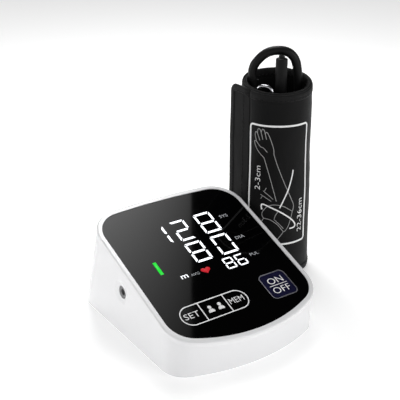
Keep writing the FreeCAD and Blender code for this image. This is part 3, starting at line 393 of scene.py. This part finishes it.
def new_piece(name, build, material, body=None):
    """A mesh object filled by a function, riding on a body."""
    bm = bmesh.new()
    bm.loops.layers.uv.new("UVMap")
    build(bm)
    bmesh.ops.recalc_face_normals(bm, faces=bm.faces)
    mesh = bpy.data.meshes.new(name)
    bm.to_mesh(mesh)
    bm.free()
    for polygon in mesh.polygons:
        polygon.use_smooth = True
    mesh.materials.append(material)
    piece = bpy.data.objects.new(name, mesh)
    bpy.context.collection.objects.link(piece)
    if body:
        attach(piece, body)
    return piece


def sweep(bm, rings, closed_path=False, uvs=None):
    """Skins closed rings of points, and caps both ends of an open path."""
    layer = bm.loops.layers.uv.active
    rows = [[bm.verts.new(point) for point in ring] for ring in rings]
    count = len(rings[0])
    spans = len(rows) if closed_path else len(rows) - 1
    for i in range(spans):
        for j in range(count):
            corners = ((i, j), (i + 1, j), (i + 1, j + 1), (i, j + 1))
            face = bm.faces.new([rows[a % len(rows)][b % count] for a, b in corners])
            if uvs:
                for loop, (a, b) in zip(face.loops, corners):
                    loop[layer].uv = uvs(a, b)
    if not closed_path:
        bm.faces.new(rows[0][::-1])
        bm.faces.new(rows[-1])


def smooth_line(points, steps=8):
    """Points along a smooth curve through the given points."""
    points = [Vector(point) for point in points]
    ends = [points[0] * 2 - points[1], *points, points[-1] * 2 - points[-2]]
    line = []
    for before, start, end, after in zip(ends, ends[1:], ends[2:], ends[3:]):
        for step in range(steps):
            t = step / steps
            line.append(0.5 * (2 * start + (end - before) * t
                               + (2 * before - 5 * start + 4 * end - after) * t ** 2
                               + (3 * start - before - 3 * end + after) * t ** 3))
    line.append(points[-1])
    return line


def ribbon(bm, line, width, place, thick=0.12, closed=False):
    """A raised line of ink or thread along 2-D points, laid on a surface by place(x, y, h)."""
    rings = []
    count = len(line)
    for i, point in enumerate(line):
        before = line[(i - 1) % count] if closed or i else point
        after = line[(i + 1) % count] if closed or i < count - 1 else point
        along = (after - before).normalized()
        side = Vector((-along.y, along.x)) * width / 2
        left, right = point + side, point - side
        rings.append([place(left.x, left.y, -0.1), place(left.x, left.y, thick),
                      place(right.x, right.y, thick), place(right.x, right.y, -0.1)])
    sweep(bm, rings, closed)


def text_shape(text, height, bold=0.0):
    """Flat outline mesh of some lettering, centred, with capitals of a height, in mm."""
    curve = bpy.data.curves.new("lettering", "FONT")
    curve.body = text
    curve.align_x = "CENTER"
    curve.offset = bold
    curve.resolution_u = 3
    holder = bpy.data.objects.new("lettering", curve)
    mesh = bpy.data.meshes.new_from_object(holder)
    bpy.data.objects.remove(holder)
    bpy.data.curves.remove(curve)
    scale = height / CAPITAL_HEIGHT
    points = [Vector((v.co.x * scale, v.co.y * scale - height / 2)) for v in mesh.vertices]
    faces = [list(polygon.vertices) for polygon in mesh.polygons]
    bpy.data.meshes.remove(mesh)
    return points, faces


CAPITAL_HEIGHT = 0.69  # of the built-in font at size 1


def add_text(bm, text, centre, height, place, turn=0.0, bold=0.0, squeeze=1.0, thick=0.12):
    """Raised lettering laid on a surface."""
    points, faces = text_shape(text, height, bold)
    spin = Matrix.Rotation(turn, 2)
    flat = [spin @ Vector((p.x * squeeze, p.y)) + Vector(centre) for p in points]
    top = [bm.verts.new(place(p.x, p.y, thick)) for p in flat]
    low = [bm.verts.new(place(p.x, p.y, -0.05)) for p in flat]
    uses = {}
    for face in faces:
        bm.faces.new([top[i] for i in face])
        bm.faces.new([low[i] for i in reversed(face)])
        for a, b in zip(face, face[1:] + face[:1]):
            uses[(a, b)] = True
    for a, b in uses:
        if (b, a) not in uses:
            bm.faces.new([top[b], top[a], low[a], low[b]])


def add_plate(bm, outline, place, thick=0.12):
    """A raised flat shape with a closed outline."""
    top = [bm.verts.new(place(x, y, thick)) for x, y in outline]
    low = [bm.verts.new(place(x, y, -0.05)) for x, y in outline]
    bm.faces.new(top)
    bm.faces.new(low[::-1])
    count = len(outline)
    for i in range(count):
        j = (i + 1) % count
        bm.faces.new([top[j], top[i], low[i], low[j]])


# ---------------------------------------------------------------- monitor: display, legends

SEGMENT_GAP = 0.42  # between the bars of a digit, as a share of their width
SEGMENTS = {
    "0": "abcdef", "1": "bc", "2": "abged", "6": "acdefg", "8": "abcdefg",
}


def segment_outline(kind, width, height, bar):
    """Outline of one bar of a seven-segment digit, from its lower left corner."""
    gap = SEGMENT_GAP * bar
    inner = bar + 0.35 * gap
    half = height / 2
    level = {
        "a": [(gap, height), (width - gap, height), (width - inner, height - bar),
              (inner, height - bar)],
        "d": [(gap, 0), (inner, bar), (width - inner, bar), (width - gap, 0)],
        "g": [(gap + 0.3 * bar, half), (inner, half + bar / 2), (width - inner, half + bar / 2),
              (width - gap - 0.3 * bar, half), (width - inner, half - bar / 2),
              (inner, half - bar / 2)],
    }
    upper_left = [(0, height - gap), (bar, height - bar - gap), (bar, half + bar / 2 + gap),
                  (0.3 * bar, half + gap), (0, half + 0.3 * bar + gap)]
    if kind in level:
        return level[kind]
    points = upper_left
    if kind in "bc":
        points = [(width - x, y) for x, y in points]
    if kind in "ec":
        points = [(x, height - y) for x, y in points]
    return points


def add_digit(bm, digit, low, width, height, bar):
    """A digit of lit bars between two corners."""
    for kind in SEGMENTS[digit]:
        outline = [(low[0] + x, low[1] + y)
                   for x, y in segment_outline(kind, width, height, bar)]
        add_plate(bm, outline, on_lens)


def on_lens(u, v, h):
    """A point h above the front panel."""
    return on_face(u, v, max(h, 0.0) * LENS_PRINT)


LENS_PRINT = 0.5


def on_key(u, v, h):
    """A point h above a key's cap."""
    return on_face(u, v, -0.05 + max(h, 0.0) * LENS_PRINT)


DIGITS = (
    ("1", (-23.2, 65.4), 11.0, 16.6, 1.6), ("2", (-6.9, 64.8), 11.2, 17.8, 1.6),
    ("8", (12.2, 64.9), 12.7, 18.2, 1.6), ("8", (-7.6, 45.1), 12.3, 16.9, 1.6),
    ("0", (11.8, 44.7), 12.9, 17.0, 1.6), ("8", (8.4, 33.0), 7.1, 9.2, 1.0),
    ("6", (17.4, 32.8), 6.8, 9.3, 1.0),
)


def make_display(materials):
    """Lit readings: white digits, a green level bar and a red heart."""
    def digits(bm):
        for digit, low, width, height, bar in DIGITS:
            add_digit(bm, digit, low, width, height, bar)
        add_text(bm, "m", (-21.4, 38.9), 3.9, on_lens, squeeze=1.3)
    new_piece("display_digits", digits, materials["lit_white"], "monitor")

    def labels(bm):
        add_text(bm, "SYS", (32.4, 75.6), 2.5, on_lens, bold=-0.008, squeeze=1.2)
        add_text(bm, "DIA", (31.6, 54.9), 2.5, on_lens, bold=-0.008, squeeze=1.2)
        add_text(bm, "PUL", (31.8, 38.6), 2.3, on_lens, bold=-0.008, squeeze=1.2)
        add_text(bm, "AVG", (-13.9, 37.7), 1.9, on_lens, bold=-0.008, squeeze=1.15)
    new_piece("display_labels", labels, materials["lit_grey"], "monitor")

    def level_bar(bm):
        add_plate(bm, [(-34.5, 44.8), (-32.2, 44.8), (-32.2, 55.4), (-34.5, 55.4)], on_lens)
    new_piece("display_level_bar", level_bar, materials["lit_green"], "monitor")

    def heart(bm):
        steps = 28
        outline = []
        for step in range(steps):
            t = 2 * math.pi * step / steps
            x = 16 * math.sin(t) ** 3
            y = 13 * math.cos(t) - 5 * math.cos(2 * t) - 2 * math.cos(3 * t) - math.cos(4 * t)
            outline.append((-5.8 - x * 0.21, 38.1 + y * 0.17))
        add_plate(bm, outline, on_lens)
    new_piece("display_heart", heart, materials["lit_red"], "monitor")


def add_disc(bm, centre, radius, place, steps=20):
    """A small raised disc."""
    turns = [2 * math.pi * step / steps for step in range(steps)]
    add_plate(bm, [(centre[0] + radius * math.cos(t), centre[1] + radius * math.sin(t))
                   for t in turns], place)


def add_user_icon(bm, u, v):
    """A head over shoulders, the usual sign for a user."""
    add_disc(bm, (u, v + 1.5), 1.25, on_key)
    shoulders = [(u - 2.1, v - 2.4), (u + 2.1, v - 2.4), (u + 2.1, v - 1.2),
                 (u + 1.3, v - 0.1), (u, v + 0.15), (u - 1.3, v - 0.1), (u - 2.1, v - 1.2)]
    add_plate(bm, shoulders, on_key)


def make_legends(materials):
    """Printed names of the keys, each riding on its own key."""
    def set_legend(bm):
        add_text(bm, "SET", (-33.6, 10.5), 4.2, on_key, bold=-0.003, squeeze=1.15)

    def user_legend(bm):
        add_user_icon(bm, -20.4, 10.2)
        add_user_icon(bm, -13.4, 10.2)

    def memory_legend(bm):
        add_text(bm, "MEM", (-1.4, 10.5), 4.2, on_key, bold=-0.003, squeeze=0.88)

    def power_legend(bm):
        add_text(bm, "ON", (31.2, 14.3), 4.8, on_key, bold=-0.006, squeeze=1.1)
        add_text(bm, "OFF", (31.0, 6.7), 4.8, on_key, bold=-0.006, squeeze=1.1)
        line = [Vector((24.4, 10.6)), Vector((37.8, 10.6))]
        ribbon(bm, line, 0.45, on_key)

    for key, build in (("key_set", set_legend), ("key_user", user_legend),
                       ("key_memory", memory_legend), ("key_power", power_legend)):
        new_piece(key + "_legend", build, materials["print"], key)


# ---------------------------------------------------------------- air hose

HOSE_RADIUS = 3.0
COIL_RADIUS = 16.2
COIL_TOP = 24.0
COIL_TURNS = 3.2
TURN_POINTS = 14


def hose_route():
    """The hose from its port over the arch, down the bore, round its coil and up to the plug."""
    route = [(-16.8, 2.5, 137.0), (-18.9, 2.5, 144.0), (-12.2, 2.5, 152.9), (-5.6, 2.5, 156.7),
             (4.0, 2.5, 156.8), (9.8, 2.5, 152.6), (12.4, 2.5, 145.0), (13.7, 3.2, 128.0),
             (14.6, 5.6, 98.0), (14.0, 8.4, 68.0), (12.8, 10.6, 45.0), (10.0, 13.0, 32.0),
             (3.0, 16.2, 25.6)]
    reach = COIL_RADIUS / math.cos(math.pi / TURN_POINTS)
    points = round(COIL_TURNS * TURN_POINTS)
    fall = (COIL_TOP - HOSE_RADIUS - 0.35) / points
    for step in range(points + 1):
        turn = math.radians(106.0) + 2 * math.pi * step / TURN_POINTS
        route.append((reach * math.cos(turn), reach * math.sin(turn), COIL_TOP - fall * step))
    route += [(-14.2, -7.2, 3.4), (-8.2, -11.4, 3.6), (1.4, -11.0, 5.2), (7.8, -7.2, 12.0)]
    route += [(7.0, -3.4, 28.3), (5.2, -3.0, 56.0), (2.4, -4.4, 88.0), (0.8, -5.5, 110.0),
              (0.8, -5.5, 125.4)]
    return route


def make_hose(materials):
    """Free air hose, which runs between its port and its plug."""
    data = bpy.data.curves.new("air_hose", "CURVE")
    data.dimensions = "3D"
    data.bevel_depth = HOSE_RADIUS * MM
    data.bevel_resolution = 8
    data.resolution_u = 6
    data.use_fill_caps = True
    route = [on_roll(*point) for point in hose_route()]
    spline = data.splines.new("NURBS")
    spline.points.add(len(route) - 1)
    for point, place in zip(spline.points, route):
        point.co = (*place, 1.0)
    spline.order_u = 3
    spline.use_endpoint_u = True
    hose = bpy.data.objects.new("air_hose", data)
    bpy.context.collection.objects.link(hose)
    data.materials.append(materials["hose"])
    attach(hose, "cuff")
    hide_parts("hose_coil", "hose_arch", "hose_riser")
    tuple(route[0])


# ---------------------------------------------------------------- rolled cuff

CUFF_HEIGHT = 138.5
BORE_RADIUS = 20.7
HALF_PITCH = 0.55
HALF_TURNS = 6
STRIP_THICK = 1.0
FLAP_LENGTH = 20.8
END_ANGLE = math.radians(-140.0)
END_WAY = Vector((math.cos(END_ANGLE), math.sin(END_ANGLE)))
FLAP_WAY = Vector((math.sin(END_ANGLE), -math.cos(END_ANGLE)))
ROLL_END = HALF_TURNS * math.pi


def eased(value):
    """A smooth step from 0 to 1."""
    value = min(1.0, max(0.0, value))
    return value * value * (3 - 2 * value)


def slump(x, y, z):
    """The soft roll's own shape: a little taper and lean, and shallow dents."""
    share = z / CUFF_HEIGHT
    radius = math.hypot(x, y)
    grow = 1.022 - 0.047 * share
    dents = noise.noise(Vector((x, y, z * 0.55)) * 0.055 + Vector((3.1, 7.7, 1.9)))
    ripple = noise.noise(Vector((x * 1.6, y * 1.6, z)) * 0.11)
    grow += (0.55 * dents + 0.16 * ripple) * eased((radius - 15) / 8) / max(radius, 1.0)
    return x * grow - LEAN * share, y * grow, z


LEAN = 1.0


def strip_flat(angle, out):
    """A point of the wound strip seen from above, at an angle from its inner end."""
    index = min(HALF_TURNS - 1, int(angle / math.pi))
    centre = END_WAY * (HALF_PITCH if index % 2 else 0.0)
    radius = BORE_RADIUS + index * HALF_PITCH + out
    turn = END_ANGLE - angle
    return centre + Vector((math.cos(turn), math.sin(turn))) * radius


RIM_HEIGHT = 137.4
RIM_RISE = 2.9  # of the back of the rim above its middle


def hem_top(angle):
    """Upper edge of the strip, which leans down to the front; the last turn sits a bit lower."""
    wander = 0.3 * noise.noise(Vector((angle * 1.7, 0.4, 2.2)))
    last = eased((angle - 4.4 * math.pi) / (0.4 * math.pi))
    return RIM_HEIGHT + RIM_RISE * math.sin(END_ANGLE - angle) + wander - 0.7 * last


def hem_bottom(angle):
    """Lower edge of the strip: the outermost turn ends a little above the inner ones."""
    low = eased((angle - 4.4 * math.pi) / (0.4 * math.pi))
    rise = eased((angle - 5.75 * math.pi) / (0.25 * math.pi))
    return 0.15 + 2.4 * low - 1.6 * rise


def strip_place(angle, out, share):
    """A point of the roll, with share running from its lower to its upper edge."""
    low, high = hem_bottom(angle), hem_top(angle)
    z = low + (high - low) * share
    flare = 0.9 * eased((angle - 4.6 * math.pi) / math.pi) * (1 - share) ** 2
    spot = strip_flat(angle, out + flare * eased((ROLL_END - angle) / 1.2))
    return on_roll(*slump(spot.x, spot.y, z))


def hem_share(millimetres):
    """The same height as a share of the cuff's."""
    return millimetres / CUFF_HEIGHT


def layer_profile(inner, outer, low, high, steps):
    """Closed section of one layer: (out, share) up its outside and down its inside."""
    rows = [low + (high - low) * step / steps for step in range(steps + 1)]
    return [(outer, share) for share in rows] + [(inner, share) for share in reversed(rows)]


PROUD_OUTSIDE = 0.3
PROUD_INSIDE = 0.25


def proud_tape(angle, out):
    """The tape stands proud of the fabric where no other turn lies against it."""
    if out > STRIP_THICK:
        return out + PROUD_OUTSIDE * eased((angle - 4.05 * math.pi) / 0.25)
    if out < 0:
        return out - PROUD_INSIDE * eased((1.95 * math.pi - angle) / 0.25)
    return out


def wound_layer(profile, start, end, steps, shape=lambda angle, out: out):
    """Builder of a layer that follows the wound strip between two angles."""
    def build(bm):
        angles = [start + (end - start) * step / steps for step in range(steps + 1)]
        rings = [[strip_place(angle, shape(angle, out), share) for out, share in profile]
                 for angle in angles]
        mean = (BORE_RADIUS + 3) * MM

        def uv(ring, point):
            return (angles[ring] * mean, profile[point % len(profile)][1] * CUFF_HEIGHT * MM)
        sweep(bm, rings, uvs=uv)
    return build


def edge_profile(low):
    """Section of the tape folded over an edge of the strip."""
    wide = hem_share(5.2)
    bottom = [(1.0, wide), (1.04, wide * 0.85), (1.04, wide * 0.25), (0.9, 0.0),
              (0.5, -hem_share(0.12)), (0.1, 0.0), (-0.04, wide * 0.25), (-0.04, wide * 0.85),
              (0.0, wide)]
    if low:
        return bottom
    return [(out, 1.0 - share) for out, share in reversed(bottom)]


LAST_TURN_PRINT = 0.05


def make_roll(materials):
    """Outer and inner fabric wound into a roll, with tape sewn over both edges."""
    mid = STRIP_THICK / 2
    low, high = hem_share(2.0), 1.0 - hem_share(2.0)
    steps = 300
    outer = new_piece("cuff_outer_fabric",
                      wound_layer(layer_profile(mid + 0.02, STRIP_THICK, low, high, 46),
                                  0.0, ROLL_END, steps),
                      materials["fabric"], "cuff")
    inner = new_piece("cuff_inner_fabric",
                      wound_layer(layer_profile(0.0, mid - 0.02, low, high, 46),
                                  0.0, ROLL_END, steps),
                      materials["liner"], "cuff")
    tapes = [new_piece(f"cuff_edge_tape_{name}",
                       wound_layer(edge_profile(name == "lower"), -0.02, ROLL_END, steps,
                                   proud_tape),
                       materials["binding"], "cuff") for name in ("lower", "upper")]
    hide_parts("outer_fabric", "air_bladder")
    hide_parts("inner_fabric")
    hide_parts("edge_binding")
    return outer, inner


def outer_surface(phi, z, h):
    """A point h outside the last turn, at an angle right of the camera's side of the roll."""
    angle = ROLL_END - math.radians(phi + 50.0)
    low, high = hem_bottom(angle), hem_top(angle)
    return strip_place(angle, STRIP_THICK + h, (z - low) / (high - low))


def on_print(s, z, h):
    """A point of the printed panel, s millimetres round the roll from its front."""
    return outer_surface(math.degrees(s / PRINT_RADIUS), z, h + LAST_TURN_PRINT)


PRINT_RADIUS = 25.0


def add_stitch(bm, start, end, up, thick):
    """One stitch: a plump little bar of thread lying on a surface."""
    along = end - start
    side = along.cross(up).normalized()
    rise = side.cross(along).normalized()
    rings = []
    for share, fat in ((0.0, 0.35), (0.18, 0.95), (0.5, 1.1), (0.82, 0.95), (1.0, 0.35)):
        centre = start + along * share
        ring = []
        for step in range(6):
            turn = 2 * math.pi * step / 6
            ring.append(centre + (side * math.cos(turn) + rise * math.sin(turn)) * thick * fat)
        rings.append(ring)
    sweep(bm, rings)


def stitch_run(bm, place, start, end, pitch=3.0, thick=0.22):
    """Stitches along a seam from start to end, in mm of place(distance) -> (point, up)."""
    count = int((end - start) / pitch)
    for i in range(count):
        first = start + i * pitch
        point, up = place(first)
        last, _ = place(first + pitch * 0.68)
        add_stitch(bm, point, last, up, thick * MM)


def make_roll_seams(materials):
    """Rows of stitches that hold the edge tape, where a turn of the roll can be seen."""
    mean = BORE_RADIUS + HALF_TURNS * HALF_PITCH

    def seam(angle_of, share, out, sign):
        def place(distance):
            angle = angle_of(distance)
            spot = strip_place(angle, out, share)
            beyond = strip_place(angle, out + sign, share)
            return spot, (beyond - spot).normalized()
        return place

    def build(bm):
        turn = 2 * math.pi
        for share in (hem_share(4.1), 1.0 - hem_share(4.1)):
            outside = seam(lambda d: ROLL_END - turn + d / mean, share, 1.36, 1.0)
            stitch_run(bm, outside, 0.6, turn * mean - 0.6)
            inside = seam(lambda d: d / BORE_RADIUS, share, -0.32, -1.0)
            stitch_run(bm, inside, 0.6, turn * BORE_RADIUS - 0.6)
    new_piece("cuff_hem_stitches", build, materials["thread"], "cuff")


ARM_LINES = (
    # hand and its fingers
    ([(-9.4, 90.8), (-13.4, 94.4), (-16.0, 98.2), (-16.9, 101.4), (-15.4, 101.6), (-12.4, 98.4),
      (-10.0, 97.6), (-7.2, 94.9)], 0.4),
    ([(-15.4, 101.8), (-16.6, 106.2), (-15.9, 108.2), (-14.6, 106.8), (-12.8, 102.6)], 0.4),
    ([(-14.8, 107.4), (-14.4, 110.2), (-13.0, 110.3), (-11.9, 107.8), (-10.6, 103.4)], 0.4),
    ([(-12.0, 108.4), (-11.2, 110.5), (-9.8, 109.9), (-8.9, 107.0), (-8.0, 103.8)], 0.4),
    ([(-9.1, 108.0), (-7.8, 108.7), (-6.2, 106.2), (-4.3, 101.4), (-3.0, 97.2), (-2.7, 93.6)],
     0.4),
    # forearm and elbow
    ([(-9.4, 90.8), (-6.7, 82.6), (-3.3, 71.2), (-0.2, 60.2)], 0.42),
    ([(-2.7, 93.6), (0.2, 85.0), (5.0, 73.2), (10.3, 61.6), (12.5, 56.2), (11.8, 51.8)], 0.42),
    # upper arm below the cuff
    ([(-8.6, 47.0), (-10.2, 43.6), (-11.4, 38.6)], 0.4),
    ([(5.4, 37.6), (3.2, 34.4), (1.0, 31.4)], 0.4),
    # cuff round the upper arm
    ([(-9.2, 52.4), (-6.6, 55.6), (-3.4, 57.3), (0.6, 57.4), (4.8, 56.2), (8.6, 53.8),
      (11.7, 51.6)], 0.4),
    ([(-9.2, 52.4), (-9.9, 50.0), (-8.6, 47.2), (-4.2, 46.4), (0.2, 43.6), (3.2, 40.2),
      (5.4, 37.5), (7.6, 39.4), (9.8, 44.2), (11.7, 51.6)], 0.4),
    ([(1.6, 53.2), (-0.6, 49.6), (-1.4, 46.8)], 0.36),
    ([(-1.4, 46.8), (2.2, 43.2), (5.2, 39.8)], 0.36),
    # distance marks beside the elbow
    ([(-11.2, 64.4), (-7.4, 62.4), (-3.6, 60.0)], 0.36),
    ([(-9.4, 67.2), (-5.6, 64.4), (-2.4, 61.6)], 0.36),
    ([(-7.2, 69.6), (-8.4, 67.2)], 0.36),
    ([(-11.0, 61.2), (-9.8, 63.4)], 0.36),
)
BOLD_LINES = (
    ([(11.2, 82.0), (10.6, 77.4), (7.6, 67.0), (2.2, 55.2)], 0.85),
    ([(-10.0, 53.4), (-10.4, 56.2), (-8.6, 57.3), (1.7, 52.8), (10.2, 46.6), (13.9, 42.0),
      (13.2, 39.6), (9.6, 39.2)], 0.95),
)


def make_print(materials):
    """Fitting guide printed on the outer fabric: a frame, two sizes and an arm in the cuff."""
    left, right, low, high, corner = -20.7, 23.1, 28.0, 113.0, 2.2

    def frame_line(bm):
        line = []
        for x, y, first in ((right - corner, high - corner, 0), (left + corner, high - corner, 90),
                            (left + corner, low + corner, 180), (right - corner, low + corner, 270)):
            for step in range(7):
                turn = math.radians(first + 15 * step)
                line.append(Vector((x + corner * math.cos(turn), y + corner * math.sin(turn))))
        dense = []
        for start, end in zip(line, line[1:] + line[:1]):
            pieces = max(1, round((end - start).length / 1.5))
            dense += [start.lerp(end, i / pieces) for i in range(pieces)]
        ribbon(bm, dense, 1.25, on_print, 0.13, closed=True)
        add_text(bm, "2-3cm", (-13.9, 76.0), 4.1, on_print, math.pi / 2, bold=-0.008,
                 squeeze=1.2)
        add_text(bm, "22-36cm", (18.0, 47.6), 4.1, on_print, math.pi / 2, bold=-0.008,
                 squeeze=1.2)
        for points, width in BOLD_LINES:
            ribbon(bm, smooth_line(points), width, on_print, 0.13)
    new_piece("cuff_print_bold", frame_line, materials["cuff_print"], "cuff")

    def arm(bm):
        for points, width in ARM_LINES:
            ribbon(bm, smooth_line(points), width, on_print, 0.11)
    new_piece("cuff_print_arm", arm, materials["arm_print"], "cuff")


# ---------------------------------------------------------------- free end of the cuff

CREASE_RADIUS = BORE_RADIUS + HALF_TURNS * HALF_PITCH
FLAP_CORNER = 6.0
FLAP_CURL = 0.9


def flap_place(along, out, z):
    """A point of the free end, from its crease outwards."""
    share = along / FLAP_LENGTH
    curl = FLAP_CURL * share * share + 0.35 * math.sin(z * 0.05) * eased(share * 2)
    spot = (END_WAY * (CREASE_RADIUS + out - curl) + FLAP_WAY * along)
    return on_roll(*slump(spot.x, spot.y, z))


def flap_span(along):
    """Lower and upper edge of the free end, with its rounded corners."""
    into = max(0.0, along - (FLAP_LENGTH - FLAP_CORNER))
    drop = FLAP_CORNER - math.sqrt(max(0.0, FLAP_CORNER ** 2 - into ** 2))
    rise = eased(along / 8.0)
    low = hem_bottom(ROLL_END) - 0.5 * rise
    high = hem_top(ROLL_END) + 1.2 * rise
    return low + drop, high - drop


def make_flap(materials):
    """The free end: two fabrics, tape round its edge, hook tape inside and its seams."""
    mid = STRIP_THICK / 2
    steps = 40

    def layer(inner, outer):
        def build(bm):
            ends = [(FLAP_LENGTH - 0.4) * (1 - (1 - i / 22) ** 1.6) for i in range(23)]
            rings = []
            for along in ends:
                low, high = flap_span(along)
                low, high = low + 0.5, high - 0.5
                rows = [low + (high - low) * i / steps for i in range(steps + 1)]
                rings.append([flap_place(along, outer, z) for z in rows]
                             + [flap_place(along, inner, z) for z in reversed(rows)])

            def uv(ring, point):
                row = point if point <= steps else 2 * steps + 1 - point
                return (ends[ring] * MM, CUFF_HEIGHT * MM * row / steps)
            sweep(bm, rings, uvs=uv)
        return build

    def edge(bm):
        low, high = flap_span(0.0)
        straight = FLAP_LENGTH - FLAP_CORNER
        top, bottom = flap_span(straight)[1], flap_span(straight)[0]
        path = [(0.0, high, Vector((0, -1))), (straight / 2, flap_span(straight / 2)[1],
                                               Vector((0, -1)))]
        for i in range(9):
            turn = math.radians(90 - 90 * i / 8)
            way = Vector((math.cos(turn), math.sin(turn)))
            path.append((straight + FLAP_CORNER * way.x, top - FLAP_CORNER + FLAP_CORNER * way.y,
                         -way))
        for i in range(1, 12):
            z = top - FLAP_CORNER - (top - bottom - 2 * FLAP_CORNER) * i / 12
            path.append((FLAP_LENGTH, z, Vector((-1, 0))))
        for i in range(9):
            turn = math.radians(-90 * i / 8)
            way = Vector((math.cos(turn), math.sin(turn)))
            path.append((straight + FLAP_CORNER * way.x,
                         bottom + FLAP_CORNER + FLAP_CORNER * way.y, -way))
        path += [(straight / 2, flap_span(straight / 2)[0], Vector((0, 1))),
                 (0.0, low, Vector((0, 1)))]
        section = ((1.02, 5.0), (1.3, 4.6), (1.34, 1.3), (1.05, 0.25), (0.5, 0.0), (0.0, 0.25),
                   (-0.3, 1.3), (-0.26, 4.6), (-0.02, 5.0))
        rings = []
        for along, z, inwards in path:
            rings.append([flap_place(along + inwards.x * inset, out, z + inwards.y * inset)
                          for out, inset in section])
        distance = [0.0]
        for (a, z, _), (b, y, _) in zip(path, path[1:]):
            distance.append(distance[-1] + math.hypot(b - a, y - z))
        sweep(bm, rings, uvs=lambda ring, point: (distance[ring] * MM,
                                                  section[point % len(section)][1] * MM))

    def hooks(bm):
        across, up = 20, 240
        first, last = 7.0, 19.4
        low, high = 9.0, 129.5
        front, back = [], []
        for i in range(across + 1):
            along = first + (last - first) * i / across
            column = []
            for j in range(up + 1):
                inner = 0 < i < across and 0 < j < up
                peak = 0.24 * ((i + j) % 2) + 0.1 * noise.noise(Vector((i * 0.9, j * 0.9, 0.0)))
                z = low + (high - low) * j / up
                column.append(bm.verts.new(flap_place(along, -0.5 - peak if inner else -0.45, z)))
            front.append(column)
            back.append([bm.verts.new(flap_place(along, -0.03, low + (high - low) * j / up))
                         for j in range(up + 1)])
        for i in range(across):
            for j in range(up):
                for grid, order in ((front, 1), (back, -1)):
                    face = [grid[i][j], grid[i + 1][j], grid[i + 1][j + 1], grid[i][j + 1]]
                    bm.faces.new(face[::order])
        rim = ([(i, 0) for i in range(across)] + [(across, j) for j in range(up)]
               + [(i, up) for i in range(across, 0, -1)] + [(0, j) for j in range(up, 0, -1)])
        for (a, b), (c, d) in zip(rim, rim[1:] + rim[:1]):
            bm.faces.new([front[a][b], front[c][d], back[c][d], back[a][b]])

    def seams(bm):
        def upright(along, out, sign):
            def place(z):
                spot = flap_place(along, out, z)
                return spot, (flap_place(along, out + sign, z) - spot).normalized()
            return place
        low, high = flap_span(8.0)
        stitch_run(bm, upright(FLAP_LENGTH - 4.0, 1.38, 1.0), low + 4.5, high - 4.5)
        stitch_run(bm, upright(6.6, 1.08, 1.0), low + 4.5, high - 4.5)
        for z_at in (lambda a: flap_span(a)[0] + 4.0, lambda a: flap_span(a)[1] - 4.0):
            def place(along, z_at=z_at):
                spot = flap_place(along, 1.38, z_at(5.0))
                return spot, (flap_place(along, 2.38, z_at(5.0)) - spot).normalized()
            stitch_run(bm, place, 0.5, 16.0)

    flap = new_piece("flap_outer_fabric", layer(mid + 0.02, STRIP_THICK), materials["fabric"])
    others = [
        new_piece("flap_inner_fabric", layer(0.0, mid - 0.02), materials["liner"]),
        new_piece("flap_edge_tape", edge, materials["binding"]),
        new_piece("flap_hook_tape", hooks, materials["hook"]),
        new_piece("flap_stitches", seams, materials["thread"]),
    ]
    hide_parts("closing_flap")
    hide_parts("hook_tape")
    for piece in (flap, *others):
        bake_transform(piece)
    return flap


# ---------------------------------------------------------------- loop that holds the D-bar

def make_bar_strap(materials):
    """A strip of the inner fabric sewn round one side of the D-bar."""
    pivot = Vector((-14.9, -10.0))
    root = END_WAY * (BORE_RADIUS - 0.1)

    def build(bm):
        out = (root - pivot).normalized()
        side = Vector((-out.y, out.x))
        outline = [(root + side * 3.2, 1.0), (root + side * 1.8 - out, 1.0)]
        for step in range(11):
            turn = math.radians(110 - 22 * step)
            outline.append((pivot + (side * math.sin(turn) - out * math.cos(turn)) * 2.1, 0.3))
        outline += [(root - side * 1.8 - out, 1.0), (root - side * 3.2, 1.0)]
        rings = []
        levels = 30
        for level in range(levels + 1):
            z = 46.0 + 76.0 * level / levels
            ring = []
            for point, follows in outline:
                straight = Vector((point.x, point.y, z))
                ring.append(on_roll(*straight.lerp(Vector(slump(*straight)), follows)))
            rings.append(ring)
        sweep(bm, rings, uvs=lambda ring, point: (76.0 * MM * ring / levels, point * 1.1 * MM))
    strap = new_piece("d_bar_loop_fabric", build, materials["liner"], "cuff")
    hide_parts("d_bar_strap")


# ---------------------------------------------------------------- build

def make_floor(materials):
    """Plain pale floor."""
    def plate(bm):
        side = 12.0
        bm.faces.new([bm.verts.new((x * side, y * side, 0.0))
                      for x, y in ((-1, -1), (1, -1), (1, 1), (-1, 1))])
    new_piece("floor", plate, materials["floor"])


materials = make_materials()
make_camera()
make_lights()
make_floor(materials)
paint_nodes(materials)
make_display(materials)
make_legends(materials)
make_hose(materials)
outer, inner = make_roll(materials)
make_roll_seams(materials)
make_print(materials)
flap = make_flap(materials)
make_bar_strap(materials)
